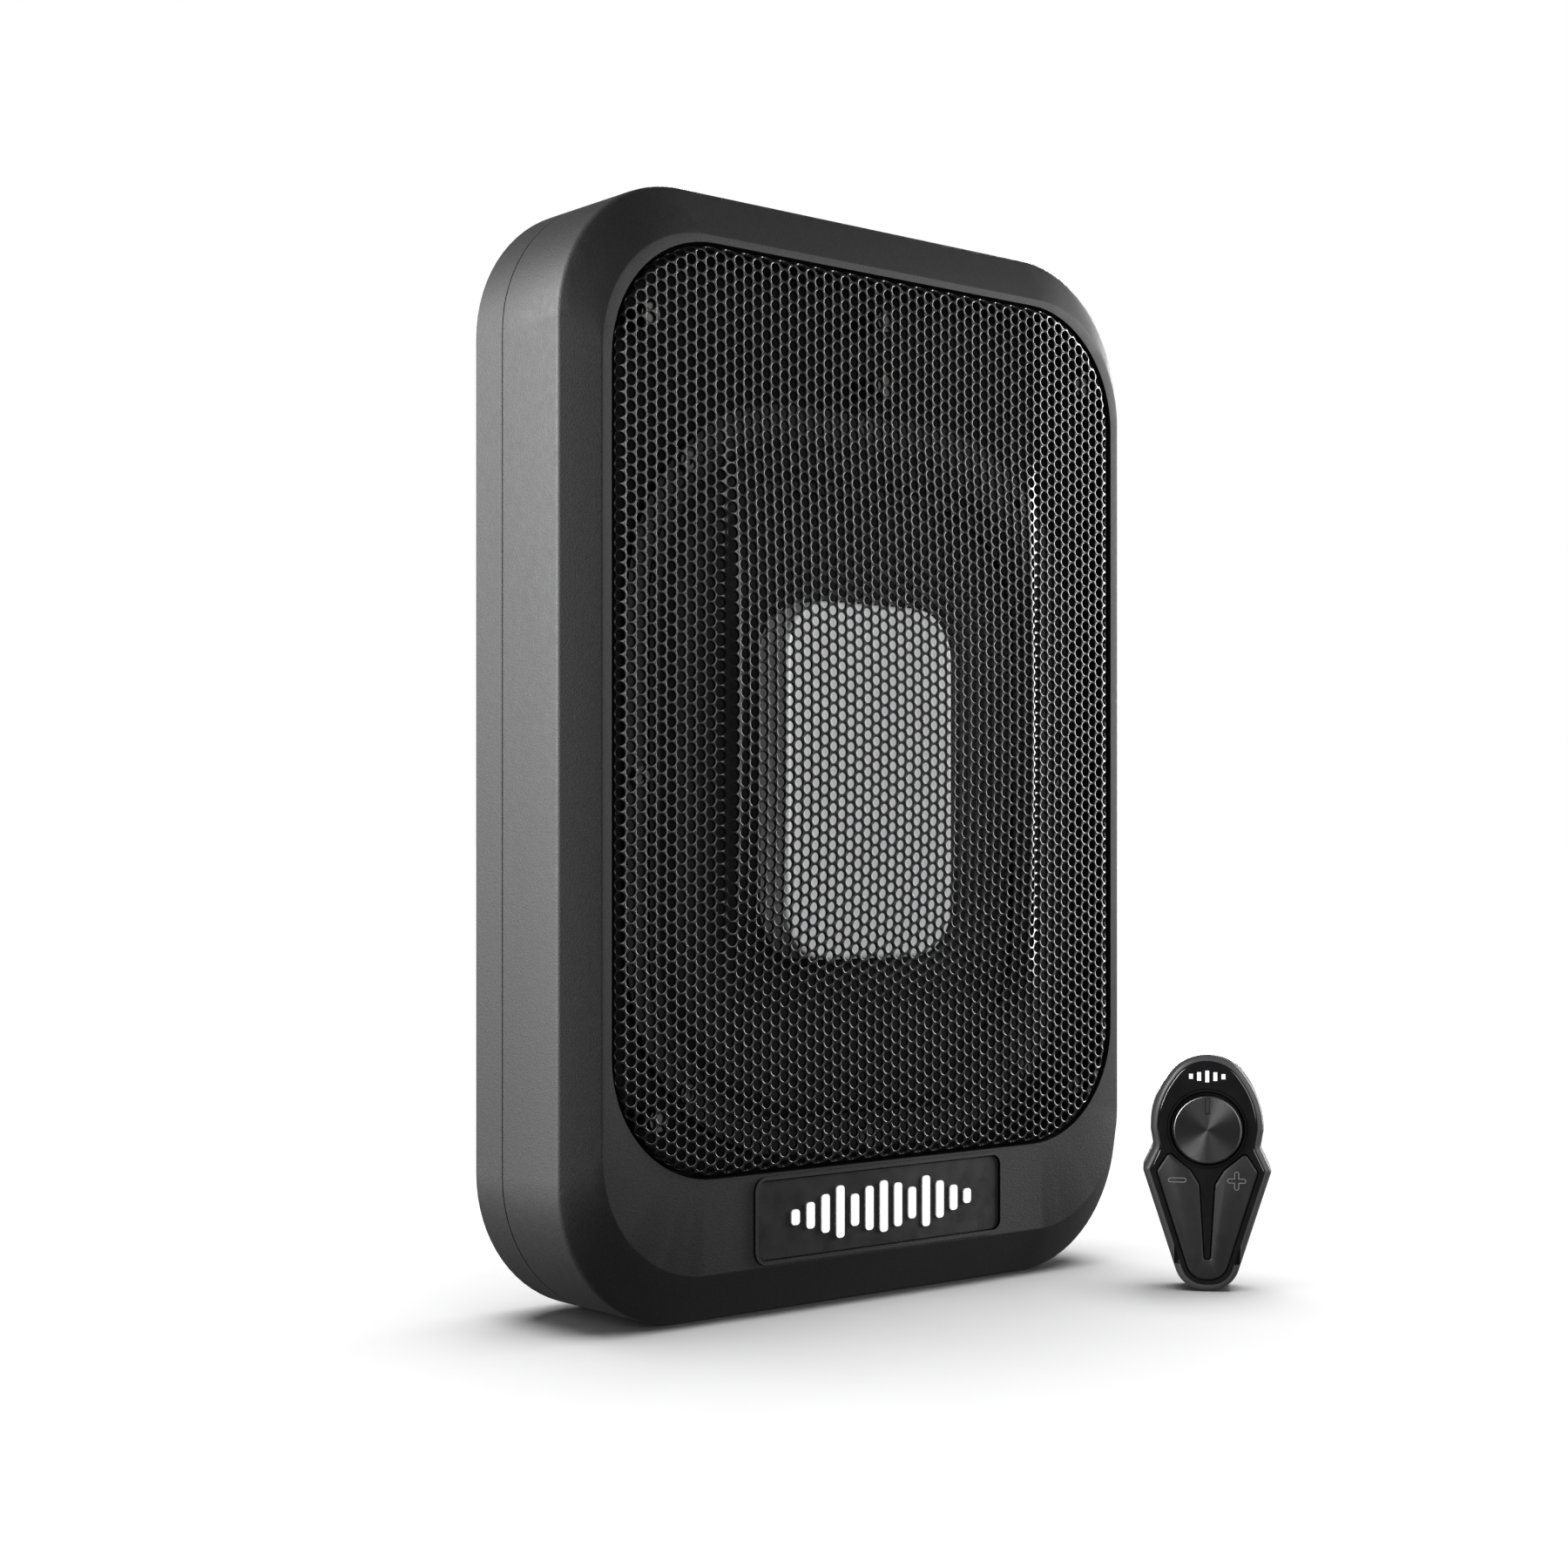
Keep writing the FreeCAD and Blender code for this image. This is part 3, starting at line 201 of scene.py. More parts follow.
def brushed(name, colour, rough, along, grain_mm=0.15, height_mm=0.004, **values):
    """Drawn or milled metal with fine lines along one axis."""
    n = Nodes(name)
    stretch = [1.0, 1.0, 1.0]
    stretch["xyz".index(along)] = 0.02
    lines = n.noise(grain_mm, 3.0, stretch=tuple(stretch))
    tint = n.ramp(lines, shade(colour, 0.85), shade(colour, 1.08))
    gloss = n.spread(n.noise(6.0), rough - 0.05, rough + 0.08)
    return n.finish(tint, gloss, n.bump(lines, height_mm), Metallic=1.0, **values)


def shell_coat():
    """Fine-textured matte black coat with a slight sheen from the grain."""
    n = Nodes("shell_coat")
    grain = n.noise(0.55, 3.0, 0.65)
    pits = n.add("ShaderNodeTexVoronoi")
    pits.inputs["Scale"].default_value = 1.0 / (0.5 * MM)
    n.link(n.coords, pits.inputs["Vector"])
    drift = n.noise(40.0, 4.0)
    speckle = n.ramp(grain, (0.0115, 0.0115, 0.0125), (0.026, 0.026, 0.0275))
    tint = n.add("ShaderNodeMix", data_type="RGBA", blend_type="MULTIPLY")
    tint.inputs["Factor"].default_value = 0.15
    n.link(speckle, tint.inputs["A"])
    n.link(n.ramp(drift, (0.75, 0.75, 0.75), (1, 1, 1)), tint.inputs["B"])
    gloss = n.spread(n.noise(3.0), 0.52, 0.58)
    normal = n.bump(pits.outputs["Distance"], 0.03)
    normal = n.bump(grain, 0.05, normal)
    return n.finish(tint.outputs["Result"], gloss, normal)


def grille_coat():
    n = Nodes("grille_coat")
    grain = n.noise(0.25, 2.0)
    tint = n.ramp(n.noise(18.0, 4.0), (0.005, 0.005, 0.0052), (0.009, 0.009, 0.0094))
    gloss = n.spread(n.noise(3.0), 0.22, 0.28)
    return n.finish(tint, gloss, n.bump(grain, 0.002), Specular_IOR_Level=0.75)


def rubber(name="rubber_black"):
    n = Nodes(name)
    grain = n.noise(0.4, 4.0)
    tint = n.ramp(n.noise(12.0, 5.0), (0.008, 0.008, 0.008), (0.016, 0.016, 0.0165))
    gloss = n.spread(n.noise(5.0), 0.6, 0.78)
    return n.finish(tint, gloss, n.bump(grain, 0.02))


def woven(name, light, dark, thread_mm, axes):
    """Plain-woven cloth: two crossed sets of rounded threads."""
    n = Nodes(name)
    waves = []
    for direction in axes:
        wave = n.add("ShaderNodeTexWave", wave_type="BANDS", bands_direction=direction)
        wave.inputs["Scale"].default_value = 0.314 / (thread_mm * MM)
        wave.inputs["Distortion"].default_value = 0.4
        n.link(n.coords, wave.inputs["Vector"])
        waves.append(wave.outputs["Fac"])
    both = n.add("ShaderNodeMath", operation="MAXIMUM")
    n.link(waves[0], both.inputs[0])
    n.link(waves[1], both.inputs[1])
    tint = n.ramp(both.outputs["Value"], dark, light, 0.2, 0.9)
    gloss = n.spread(n.noise(4.0), 0.75, 0.9)
    return n.finish(tint, gloss, n.bump(both.outputs["Value"], thread_mm * 0.3))


def winding(name):
    """Enamelled copper wire laid side by side."""
    n = Nodes(name)
    wave = n.add("ShaderNodeTexWave", wave_type="BANDS", bands_direction="Y")
    wave.inputs["Scale"].default_value = 0.314 / (0.4 * MM)
    n.link(n.coords, wave.inputs["Vector"])
    tint = n.ramp(wave.outputs["Fac"], (0.22, 0.06, 0.02), (0.75, 0.3, 0.12), 0.1, 0.8)
    gloss = n.spread(n.noise(2.0), 0.25, 0.35)
    return n.finish(tint, gloss, n.bump(wave.outputs["Fac"], 0.15), Metallic=1.0)


def circuit_board(name):
    """Solder-masked laminate with paler tracks under the mask."""
    n = Nodes(name)
    cells = n.add("ShaderNodeTexVoronoi", feature="DISTANCE_TO_EDGE", distance="MANHATTAN")
    cells.inputs["Scale"].default_value = 1.0 / (6.0 * MM)
    n.link(n.coords, cells.inputs["Vector"])
    tint = n.ramp(cells.outputs["Distance"], (0.05, 0.2, 0.07), (0.012, 0.07, 0.03), 0.03, 0.06)
    gloss = n.spread(n.noise(5.0), 0.25, 0.35)
    return n.finish(tint, gloss, n.bump(n.noise(0.8), 0.01))


def tinted_resin(name, colour, alpha_rough=0.2):
    n = Nodes(name)
    tint = n.ramp(n.noise(3.0), shade(colour, 0.85), shade(colour, 1.05))
    gloss = n.spread(n.noise(1.5), alpha_rough, alpha_rough + 0.1)
    return n.finish(tint, gloss, n.bump(n.noise(0.6), 0.01), Coat_Weight=0.4, IOR=1.5)


def gloss_black(name):
    """Piano-black moulding: a clear hard coat over black with faint handling haze."""
    n = Nodes(name)
    haze = n.noise(7.0, 5.0, 0.7)
    tint = n.ramp(haze, (0.004, 0.004, 0.0045), (0.009, 0.009, 0.010))
    gloss = n.spread(haze, 0.06, 0.16)
    return n.finish(tint, gloss, n.bump(n.noise(12.0, 2.0), 0.01), Coat_Weight=0.6, Coat_Roughness=0.03)


def spun_knob(name):
    """Black-anodised metal spun on a lathe: fine rings, and gloss drawn out along them."""
    n = Nodes(name)
    rings = n.add("ShaderNodeTexWave", wave_type="RINGS", rings_direction="Z")
    rings.inputs["Scale"].default_value = 0.314 / (0.12 * MM)
    rings.inputs["Distortion"].default_value = 1.5
    rings.inputs["Detail"].default_value = 3.0
    n.link(n.coords, rings.inputs["Vector"])
    tangent = n.add("ShaderNodeTangent", direction_type="RADIAL", axis="Z")
    n.link(tangent.outputs["Tangent"], n.shader.inputs["Tangent"])
    tint = n.ramp(rings.outputs["Fac"], (0.13, 0.13, 0.133), (0.24, 0.24, 0.245), 0.1, 0.9)
    gloss = n.spread(rings.outputs["Fac"], 0.26, 0.36)
    normal = n.bump(rings.outputs["Fac"], 0.0015)
    return n.finish(tint, gloss, normal, Metallic=1.0, Anisotropic=0.85)


BLACK = (0.016, 0.016, 0.017)

MATERIALS = {
    "shell_coat": shell_coat(),
    # painted shade: a darker, less glossy colour for the front shell's inside faces behind the grille
    "painted_shade_inside": coat("painted_shade_inside", (0.006, 0.006, 0.006), 0.7, 0.6, 0.02, Specular_IOR_Level=0.2),
    "grille_coat": grille_coat(),
    "badge_panel": coat("badge_panel", (0.008, 0.008, 0.0085), 0.42, 0.5, 0.012),
    "silver_print": coat("silver_print", (0.95, 0.95, 0.96), 0.32, 0.3, 0.004, vary=0.02),
    "plated_steel": brushed("plated_steel", (0.16, 0.155, 0.15), 0.42, "y"),
    "black_screw": coat("black_screw", (0.009, 0.009, 0.0095), 0.55, 0.4, 0.01),
    "rubber_black": rubber(),
    "basket_steel": coat("basket_steel", (0.009, 0.009, 0.0095), 0.5, 0.8, 0.01),
    "cone_black": coat(
        "cone_black", (0.010, 0.010, 0.0105), 0.62, 1.4, 0.06, vary=0.3, Specular_IOR_Level=0.3
    ),
    "cone_silver": coat("cone_silver", (0.86, 0.86, 0.87), 0.42, 0.35, 0.01, vary=0.04, Metallic=0.2),
    "coil_former": brushed("coil_former", (0.7, 0.7, 0.72), 0.3, "x"),
    "copper_wire": winding("copper_wire"),
    "spider_cloth": woven("spider_cloth", (0.75, 0.55, 0.2), (0.3, 0.2, 0.06), 0.5, "XZ"),
    "ferrite": coat("ferrite", (0.05, 0.05, 0.054), 0.5, 0.7, 0.03, vary=0.2),
    "circuit_board": circuit_board("circuit_board"),
    "can_sleeve": coat("can_sleeve", (0.02, 0.022, 0.04), 0.25, 2.0, 0.01),
    "black_resin": coat("black_resin", BLACK, 0.42, 0.6, 0.02),
    "bare_aluminium": brushed("bare_aluminium", (0.72, 0.72, 0.74), 0.3, "x"),
    "panel_black": coat("panel_black", (0.014, 0.014, 0.015), 0.45, 0.3, 0.01),
    "nickel": brushed("nickel", (0.72, 0.68, 0.6), 0.18, "z"),
    "fuse_resin": tinted_resin("fuse_resin", (0.75, 0.55, 0.05)),
    "led_lens": tinted_resin("led_lens", (0.25, 0.4, 0.9)),
    "insert_brass": brushed("insert_brass", (0.72, 0.52, 0.25), 0.3, "y"),
    "remote_satin": coat("remote_satin", (0.075, 0.075, 0.078), 0.42, 0.4, 0.008, Coat_Weight=0.1),
    "remote_gloss": gloss_black("remote_gloss"),
    "knob_metal": spun_knob("knob_metal"),
    "rocker_pad": coat("rocker_pad", (0.02, 0.02, 0.021), 0.46, 0.28, 0.03),
    # painted highlights: these lighter colours go on the front-facing chamfers of the rocker pads, the
    # knob and the faceplate; the first also colours the raised lines of the plus and minus signs
    "sign_line_and_edge_highlight": coat("sign_line_and_edge_highlight", (0.3, 0.3, 0.31), 0.3, 0.2, 0.004, vary=0.05),
    "knob_edge_highlight": coat("knob_edge_highlight", (0.42, 0.42, 0.43), 0.25, 0.2, 0.003, vary=0.05, Metallic=0.6),
    "gloss_edge_highlight": coat("gloss_edge_highlight", (0.12, 0.12, 0.125), 0.2, 0.2, 0.002, vary=0.05),
}


def dress_cad_nodes():
    """Give every CAD node the finished material of its slot."""
    slots = {s["node"]: s["material_slot"] for s in frame["record"]["subparts"]}
    for name, obj in NODES.items():
        for spot in obj.material_slots:
            spot.material = MATERIALS[slots[name]]


def painted_highlight_edges(bm, facing, width):
    """Chamfer the sharp outlines of the faces that look one way, and give those chamfers and
    the ones already there the second material, a lighter colour painted on as a highlight."""
    for face in bm.faces:
        face.material_index = 0
    bmesh.ops.dissolve_limit(bm, angle_limit=math.radians(0.5), verts=bm.verts, edges=bm.edges)
    picked = []
    for edge in bm.edges:
        if len(edge.link_faces) == 2 and edge.calc_face_angle(0) > math.radians(40):
            if max(face.normal.dot(facing) for face in edge.link_faces) > 0.98:
                picked.append(edge)
    bmesh.ops.bevel(bm, geom=picked, offset=width, segments=1, affect="EDGES", material=1)
    for face in bm.faces:
        if 0.3 < face.normal.dot(facing) < 0.95:
            face.material_index = 1


def skin(node, body, slot, place=None, sharp_deg=28, edge=None):
    """Stand a smooth-shaded copy in for a CAD node. A place gives the copy local axes of its
    own, so that its material can run round the piece's axis. An edge is the direction whose
    outlines are chamfered, the chamfer's width and its material, a lighter colour that paints
    a highlight along the chamfers."""
    mesh = NODES[node].data.copy()
    mesh.name = node + "_skin"
    if "custom_normal" in mesh.attributes:
        mesh.attributes.remove(mesh.attributes["custom_normal"])
    bm = bmesh.new()
    bm.from_mesh(mesh)
    bmesh.ops.remove_doubles(bm, verts=bm.verts, dist=1e-6)
    if edge is not None:
        painted_highlight_edges(bm, edge[0], edge[1])
    bm.to_mesh(mesh)
    bm.free()
    mesh.shade_smooth()
    mesh.set_sharp_from_angle(angle=math.radians(sharp_deg))
    obj = link(bpy.data.objects.new(node + "_skin", mesh))
    if place is not None:
        mesh.transform(place.inverted())
        obj.matrix_world = place
    paint(obj, MATERIALS[slot])
    if edge is not None:
        obj.data.materials.append(MATERIALS[edge[2]])
    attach(obj, body)
    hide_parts(node)
    return obj


# ---- remote ----
REMOTE_TURN = math.radians(-48.5)
REMOTE_AT = Vector((100.2, -84.0, 0.0)) * MM
KNOB_Z = 55.0 * MM
PAD_FRONT = -9.1 * MM
GLYPH_RISE = 0.14 * MM
GLYPH_LINE = 0.32 * MM
GLYPH_SINK = 0.05 * MM  # how far the line's foot goes into the pad
GLYPH_HALF = 0.85 * MM  # half the width of a sign's arms
SIGN_Z = 37.5 * MM
REMOTE_PLACE = Matrix.Translation(REMOTE_AT) @ Matrix.Rotation(REMOTE_TURN, 4, "Z")


def knob_place():
    """Local axes of the remote's knob: Z out of its face."""
    return REMOTE_PLACE @ Matrix.Translation((0, 0, KNOB_Z)) @ Matrix.Rotation(math.pi / 2, 4, "X")


def glyph_path(arms, length, half):
    """The outline of a sign made of round-ended arms from its middle, at the given angles."""
    points = []
    for arm in arms:
        direction = Vector((math.cos(arm), math.sin(arm)))
        side = Vector((-direction.y, direction.x))
        for k in range(9):
            a = -math.pi / 2 + math.pi * k / 8
            points.append(direction * (length - half + half * math.cos(a)) + side * half * math.sin(a))
        if len(arms) == 4:
            points.append(direction * half + side * half)
    return points


def glyph(name, x, arms, length):
    """A raised line round the sign on the rocker pad."""
    half = GLYPH_HALF
    outer = glyph_path(arms, length, half)
    inner = glyph_path(arms, length - GLYPH_LINE, half - GLYPH_LINE)
    lip = GLYPH_LINE * 0.25
    near_outer = glyph_path(arms, length - lip, half - lip)
    near_inner = glyph_path(arms, length - GLYPH_LINE + lip, half - GLYPH_LINE + lip)
    loops = [
        (outer, GLYPH_SINK),
        (near_outer, -GLYPH_RISE),
        (near_inner, -GLYPH_RISE),
        (inner, GLYPH_SINK),
    ]
    count = len(outer)
    verts, faces = [], []
    for loop, back in loops:
        verts += [REMOTE_PLACE @ Vector((x + p.x, PAD_FRONT + back, SIGN_Z + p.y)) for p in loop]
    for level in range(len(loops)):
        a, b = level * count, ((level + 1) % len(loops)) * count
        faces += [(a + k, a + (k + 1) % count, b + (k + 1) % count, b + k) for k in range(count)]
    obj = paint(mesh_object(name, verts, faces), MATERIALS["sign_line_and_edge_highlight"])
    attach(obj, "remote_rocker")


def dim_inside(obj):
    """Give the front shell's inside faces a darker, duller colour: painted shade for the recess behind
    the grille.
    """
    obj.data.materials.append(MATERIALS["painted_shade_inside"])
    for face in obj.data.polygons:
        x, y, z = face.center
        looks_out = face.normal.x * x + face.normal.z * (z - SHELL_MID_Z) > 0
        side_wall = abs(face.normal.y) < 0.7
        if y > INSIDE_FROM_Y and abs(x) < INSIDE_HALF_W and not (side_wall and looks_out):
            face.material_index = 1


def make_remote():
    front = REMOTE_PLACE.to_3x3() @ Vector((0, -1, 0))
    # the front-facing chamfers of the knob, the pads and the faceplate get painted highlights
    skin("remote_knob", "remote_knob", "knob_metal", knob_place(), 20, (front, 0.12 * MM, "knob_edge_highlight"))
    skin("remote_rocker", "remote_rocker", "rocker_pad", edge=(front, 0.22 * MM, "sign_line_and_edge_highlight"))
    skin("remote_faceplate", "remote", "remote_gloss", edge=(front, 0.18 * MM, "gloss_edge_highlight"))
    skin("remote_front_shell", "remote", "remote_satin")
    quarter = math.pi / 2
    glyph("remote_minus_sign", -10.0 * MM, [0, 2 * quarter], 3.1 * MM)
    glyph("remote_plus_sign", 9.8 * MM, [k * quarter for k in range(4)], 3.2 * MM)


# ---- grille ----
GRILLE_MID_Z = (GRILLE_LOW.z + GRILLE_HIGH.z) / 2
ROLL_HALF = np.array([GRILLE_HIGH.x - ROLL_R, (GRILLE_HIGH.z - GRILLE_LOW.z) / 2 - ROLL_R])
ROLL_CORNER = OUTLINE_R - ROLL_R
ROLL_LENGTH = ROLL_R * math.pi / 2
RIM_DEPTH = 6.0 * MM  # how far the plain rim goes down past the roll


def outline_distance(p):
    """Signed distance of (x, z - mid) points from the line where the edge starts to roll, and
    the outward direction there."""
    q = np.abs(p) - (ROLL_HALF - ROLL_CORNER)
    outside = np.maximum(q, 0)
    length = np.linalg.norm(outside, axis=1)
    distance = length + np.minimum(q.max(axis=1), 0) - ROLL_CORNER
    straight_x = (q[:, 0] > q[:, 1])[:, None] * np.array([1.0, 0.0])
    straight_z = (q[:, 0] <= q[:, 1])[:, None] * np.array([0.0, 1.0])
    corner = (q.min(axis=1) > 0)[:, None]
    direction = np.where(corner, outside / np.maximum(length, 1e-9)[:, None], straight_x + straight_z)
    return distance, direction * np.sign(p)


def smooth(t):
    t = np.clip(t, 0, 1)
    return t * t * (3 - 2 * t)


def sheet_y(x, z):
    """Depth of the sheet's front face: flat middle, tilted sides, and the bowed panel."""
    tilt = np.clip((np.abs(x) - TILT_FROM) / (GRILLE_HIGH.x - TILT_FROM), 0, 1)
    y = FACE_Y + tilt * (EDGE_Y - FACE_Y)
    mid, half = (BOW_LOW + BOW_HIGH) / 2, (BOW_HIGH - BOW_LOW) / 2
    rise = BOW_RISE * np.clip(1 - ((z - mid) / half) ** 2, 0, 1)
    return y - rise * smooth((BOW_HALF_W - np.abs(x)) / BOW_STEP)


def on_sheet(flat, depth):
    """Carry unrolled (x, z - mid) points at a depth below the face onto the formed sheet."""
    distance, out = outline_distance(flat)
    beyond = np.clip(distance, 0, None)
    foot = flat - out * beyond[:, None]
    y = sheet_y(foot[:, 0], foot[:, 1] + GRILLE_MID_Z)
    angle = np.clip(beyond / ROLL_R, 0, math.pi / 2)
    drop = np.clip(beyond - ROLL_LENGTH, 0, None)
    radius = ROLL_R - depth
    along = radius * np.sin(angle)
    back = depth + radius * (1 - np.cos(angle)) + drop
    back = np.where(distance > 0, back, depth)
    spot = foot + out * along[:, None]
    return np.column_stack([spot[:, 0], y + back, spot[:, 1] + GRILLE_MID_Z])


def hole_centres(x_low, x_high, z_low, z_high):
    """Staggered centres, columns upright, of holes whose cells lie on the unrolled sheet."""
    centres = []
    for i in range(round(x_low / COLUMN_STEP), round(x_high / COLUMN_STEP)):
        shift = 0.5 * (i % 2)
        for j in range(-60, 60):
            z = (j + shift) * HOLE_PITCH
            if z_low <= z < z_high:
                centres.append((i * COLUMN_STEP, z))
    centres = np.array(centres)
    distance, _ = outline_distance(centres)
    return centres[distance < ROLL_LENGTH - 0.2 * MM]


def perforated(name, x_low, x_high, z_low, z_high):
    """A stretch of the sheet, one hexagonal cell with a rounded hole per centre."""
    centres = hole_centres(x_low, x_high, z_low, z_high)
    sides = 12
    angles = np.arange(sides) * 2 * math.pi / sides
    widen = COLUMN_STEP / (HOLE_PITCH * math.sqrt(3) / 2)
    unit = np.column_stack([np.cos(angles), np.sin(angles)])
    reach = np.where(np.arange(sides) % 2 == 0, HOLE_PITCH / math.sqrt(3), HOLE_PITCH / 2)
    cell = unit * reach[:, None] * np.array([widen, 1.0])
    nip = 0.1 * MM
    here = sheet_y(centres[:, 0] - nip, centres[:, 1] + GRILLE_MID_Z)
    there = sheet_y(centres[:, 0] + nip, centres[:, 1] + GRILLE_MID_Z)
    shrink = 1 / np.hypot(1, (there - here) / (2 * nip))
    squeeze = np.column_stack([widen * shrink, np.ones(len(centres))])
    rings = [
        (None, 0.0),
        (HOLE_R + HOLE_EDGE, 0.0),
        (HOLE_R + HOLE_EDGE * 0.3, HOLE_EDGE * 0.3),
        (HOLE_R, HOLE_EDGE),
        (HOLE_R, SHEET_T),
        (None, SHEET_T),
    ]
    layers = []
    for radius, depth in rings:
        offsets = cell[None] if radius is None else unit[None] * radius * squeeze[:, None, :]
        flat = (centres[:, None, :] + offsets).reshape(-1, 2)
        layers.append(on_sheet(flat, depth))
    count = len(centres) * sides
    verts = np.vstack(layers)
    base = np.arange(count)
    after = np.where(base % sides == sides - 1, base - sides + 1, base + 1)
    faces = []
    for level in range(len(rings) - 1):
        a, b = level * count, (level + 1) * count
        faces.append(np.column_stack([base + a, base + b, after + b, after + a]))
    faces = np.vstack(faces)
    keys = np.round(verts / 2e-6).astype(np.int64)
    _, first, inverse = np.unique(keys, axis=0, return_index=True, return_inverse=True)
    verts, faces = verts[first], inverse.reshape(-1)[faces]
    mesh = bpy.data.meshes.new(name)
    mesh.vertices.add(len(verts))
    mesh.vertices.foreach_set("co", verts.astype(np.float32).ravel())
    mesh.loops.add(faces.size)
    mesh.loops.foreach_set("vertex_index", faces.ravel().astype(np.int32))
    mesh.polygons.add(len(faces))
    mesh.polygons.foreach_set("loop_start", (np.arange(len(faces)) * 4).astype(np.int32))
    mesh.update(calc_edges=True)
    mesh.validate()
    mesh.shade_smooth()
    mesh.set_sharp_from_angle(angle=math.radians(50))
    obj = link(bpy.data.objects.new(name, mesh))
    return finish_grille_piece(obj)


def finish_grille_piece(obj):
    paint(obj, MATERIALS["grille_coat"])
    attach(obj, "cabinet")
    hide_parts("grille")
    return obj


def grille_rim():
    """The plain strip at the end of the rolled edge, down into the well."""
    count = 400
    perimeter = []
    hx, hz = ROLL_HALF
    r = ROLL_CORNER
    lines = [2 * (hz - r), 2 * (hx - r)] * 2
    arc = r * math.pi / 2
    total = sum(lines) + 4 * arc
    for k in range(count):
        s = total * k / count
        x, z, heading = hx, -(hz - r), 90.0
        for line in lines:
            run = min(s, line)
            x += run * math.cos(math.radians(heading))
            z += run * math.sin(math.radians(heading))
            s -= run
            if s <= 0:
                break
            turn = min(s / r, math.pi / 2)
            cx = x + r * math.cos(math.radians(heading + 90))
            cz = z + r * math.sin(math.radians(heading + 90))
            start = math.radians(heading - 90)
            x, z = cx + r * math.cos(start + turn), cz + r * math.sin(start + turn)
            heading += math.degrees(turn)
            s -= turn * r
            if s <= 1e-9:
                break
        perimeter.append((x, z, math.radians(heading - 90)))
    near, far = ROLL_LENGTH * 0.62, ROLL_LENGTH + RIM_DEPTH
    section = [(near, 0.25), (ROLL_LENGTH * 0.8, 0.25), (ROLL_LENGTH, 0.25)]
    section += [(far, 0.25), (far, 0.95), (near, 0.95)]
    verts = []
    for along, depth in section:
        flat = np.array([(x + math.cos(a) * along, z + math.sin(a) * along) for x, z, a in perimeter])
        verts.append(on_sheet(flat, depth * MM))
    faces = []
    levels = len(section)
    for level in range(levels):
        for k in range(count):
            k2 = (k + 1) % count
            a, b = level * count, ((level + 1) % levels) * count
            faces.append((a + k, a + k2, b + k2, b + k))
    return finish_grille_piece(mesh_object("grille_rim", np.vstack(verts), faces))


def make_grille():
    crease = 18.5 * COLUMN_STEP
    edge = GRILLE_HIGH.x + 10 * MM
    tall = 0.2
    perforated("grille_left", -edge, -crease, -tall, tall)
    perforated("grille_right", crease, edge, -tall, tall)
    perforated("grille_upper", -crease, crease, 0, tall)
    perforated("grille_lower", -crease, crease, -tall, 0)
    grille_rim()


# ---- staging ----
def make_floor():
    size = 60.0
    verts = [(-size, -size, 0), (size, -size, 0), (size, size, 0), (-size, size, 0)]
    floor = mesh_object("floor", verts, [(0, 1, 2, 3)])
    paint(floor, coat("floor_paint", (0.88, 0.88, 0.88), 0.75, 3.0, 0.02, vary=0.01))
    floor.location.z = -0.0002
    floor.visible_diffuse = False
    floor.visible_glossy = False
    return floor


def make_world():
    """White seen directly, a dim grey as light on the object."""
    world = bpy.data.worlds.new("studio")
    bpy.context.scene.world = world
    world.use_nodes = True
    tree = world.node_tree
    back = tree.nodes["Background"]
    back.inputs["Color"].default_value = (1, 1, 1, 1)
    path = tree.nodes.new("ShaderNodeLightPath")
    mix = tree.nodes.new("ShaderNodeMapRange")
    mix.inputs["To Min"].default_value = 0.1
    mix.inputs["To Max"].default_value = 1.0
    tree.links.new(path.outputs["Is Camera Ray"], mix.inputs["Value"])
    tree.links.new(mix.outputs["Result"], back.inputs["Strength"])


def only_for(light, objects, name):
    """Let a light fall on some objects only."""
    group = bpy.data.collections.new(name)
    for obj in objects:
        group.objects.link(obj)
    light.light_linking.receiver_collection = group


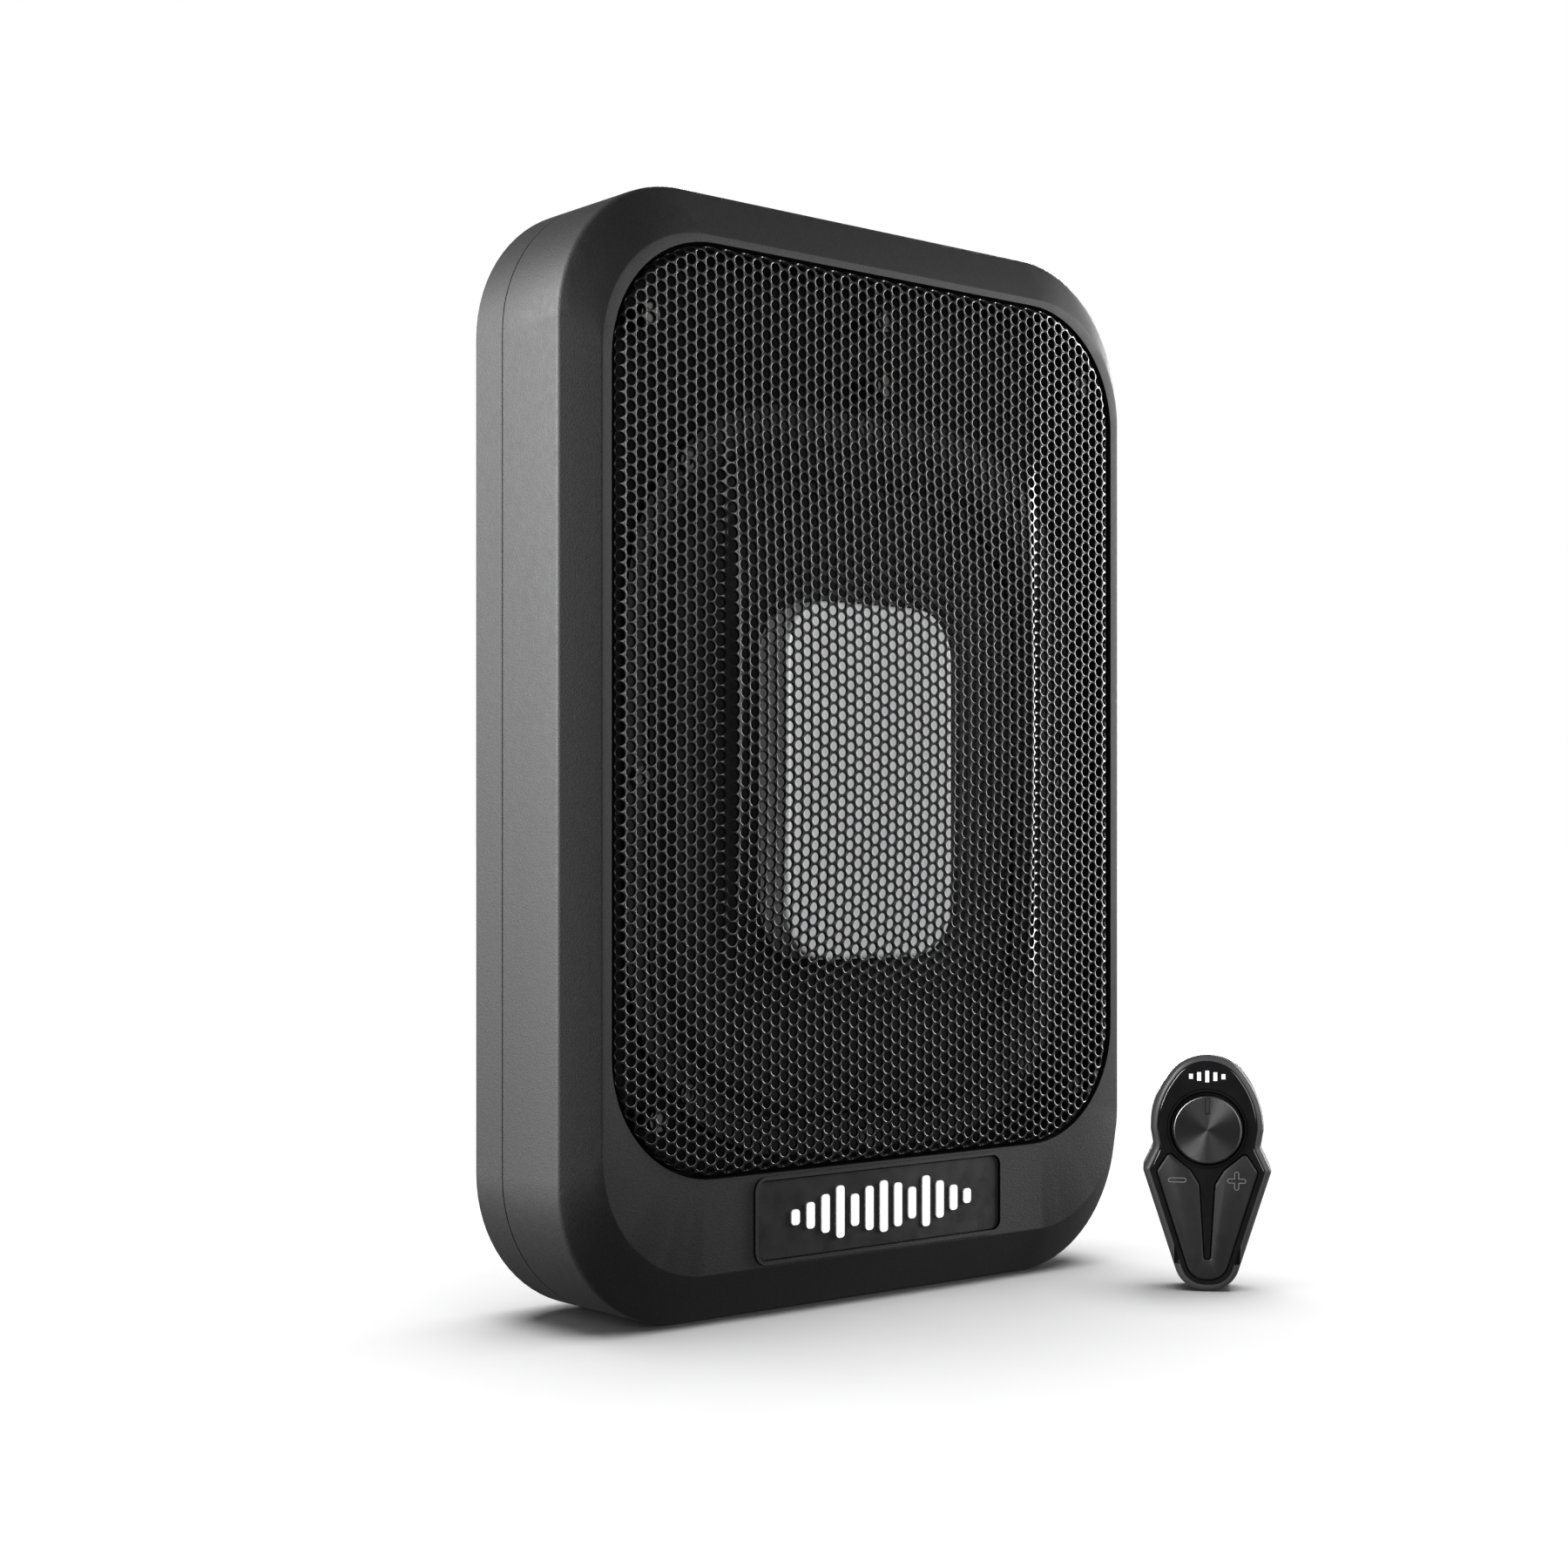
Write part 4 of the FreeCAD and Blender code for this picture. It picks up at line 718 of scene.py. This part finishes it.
def make_lights(floor):
    """Soft boxes shape the product, and a wide overhead glow whitens the floor alone. Some soft
    boxes light only the pieces listed with them."""
    glow = bpy.data.lights.new("floor_glow", "SUN")
    glow.energy = 4.0
    glow.angle = math.radians(62)
    sun = link(bpy.data.objects.new("floor_glow", glow))
    sun.rotation_euler = Vector((-0.07, -0.09, -1.0)).to_track_quat("-Z", "Y").to_euler()
    only_for(sun, [floor], "floor_only")
    everything = [o for o in bpy.data.objects if o.type == "MESH" and o is not floor]
    shells = [o for o in everything if "shell" in o.name]
    prints = [o for o in everything if o.name.startswith(("badge_mark", "remote_mark", "cone_plate"))]
    remote = [o for o in everything if o.name.startswith("remote_")]
    not_shells = [o for o in everything if o not in shells]
    boxes = [
        (area_light("left_softbox", (-1.6, 0.85, 0.72), (0, 0, 0.2), (0.7, 1.3), 94), everything),
        (area_light("right_softbox", (0.95, 0.8, 0.55), (0, 0, 0.25), (0.6, 1.0), 55), everything),
        (area_light("front_fill", (0.2, -1.5, 0.5), (0, 0, 0.18), (0.9, 0.9), 8), everything),
        (area_light("right_front", (1.5, -0.42, 0.5), (0, 0, 0.2), (0.5, 1.1), 26), everything),
        (area_light("grille_right", (1.5, -0.3, 0.6), (0, 0, 0.2), (0.4, 1.1), 14), not_shells),
        (area_light("print_fill", (-0.3, -1.3, 0.5), (0, 0, 0.15), (0.5, 0.5), 12), prints),
        (area_light("remote_left", (-1.3, -0.15, 0.55), (0.1, -0.08, 0.05), (0.3, 0.8), 17), remote),
    ]
    for box, lit in boxes:
        only_for(box, lit, box.name + "_subject")


def make_camera():
    camera = bpy.data.cameras.new("camera")
    camera.lens = LENS
    camera.sensor_width = 36.0
    camera.shift_y = SHIFT_Y
    obj = link(bpy.data.objects.new("camera", camera))
    obj.location = CAMERA_AT
    obj.rotation_euler = (math.radians(90), 0, math.radians(CAMERA_TURN))
    bpy.context.scene.camera = obj
    bpy.context.scene.view_settings.view_transform = "Standard"


make_camera()
make_world()
studio_floor = make_floor()
dress_cad_nodes()
dim_inside(skin("front_shell", "cabinet", "shell_coat"))
skin("rear_shell", "cabinet", "shell_coat")
make_grille()
make_remote()
make_lights(studio_floor)
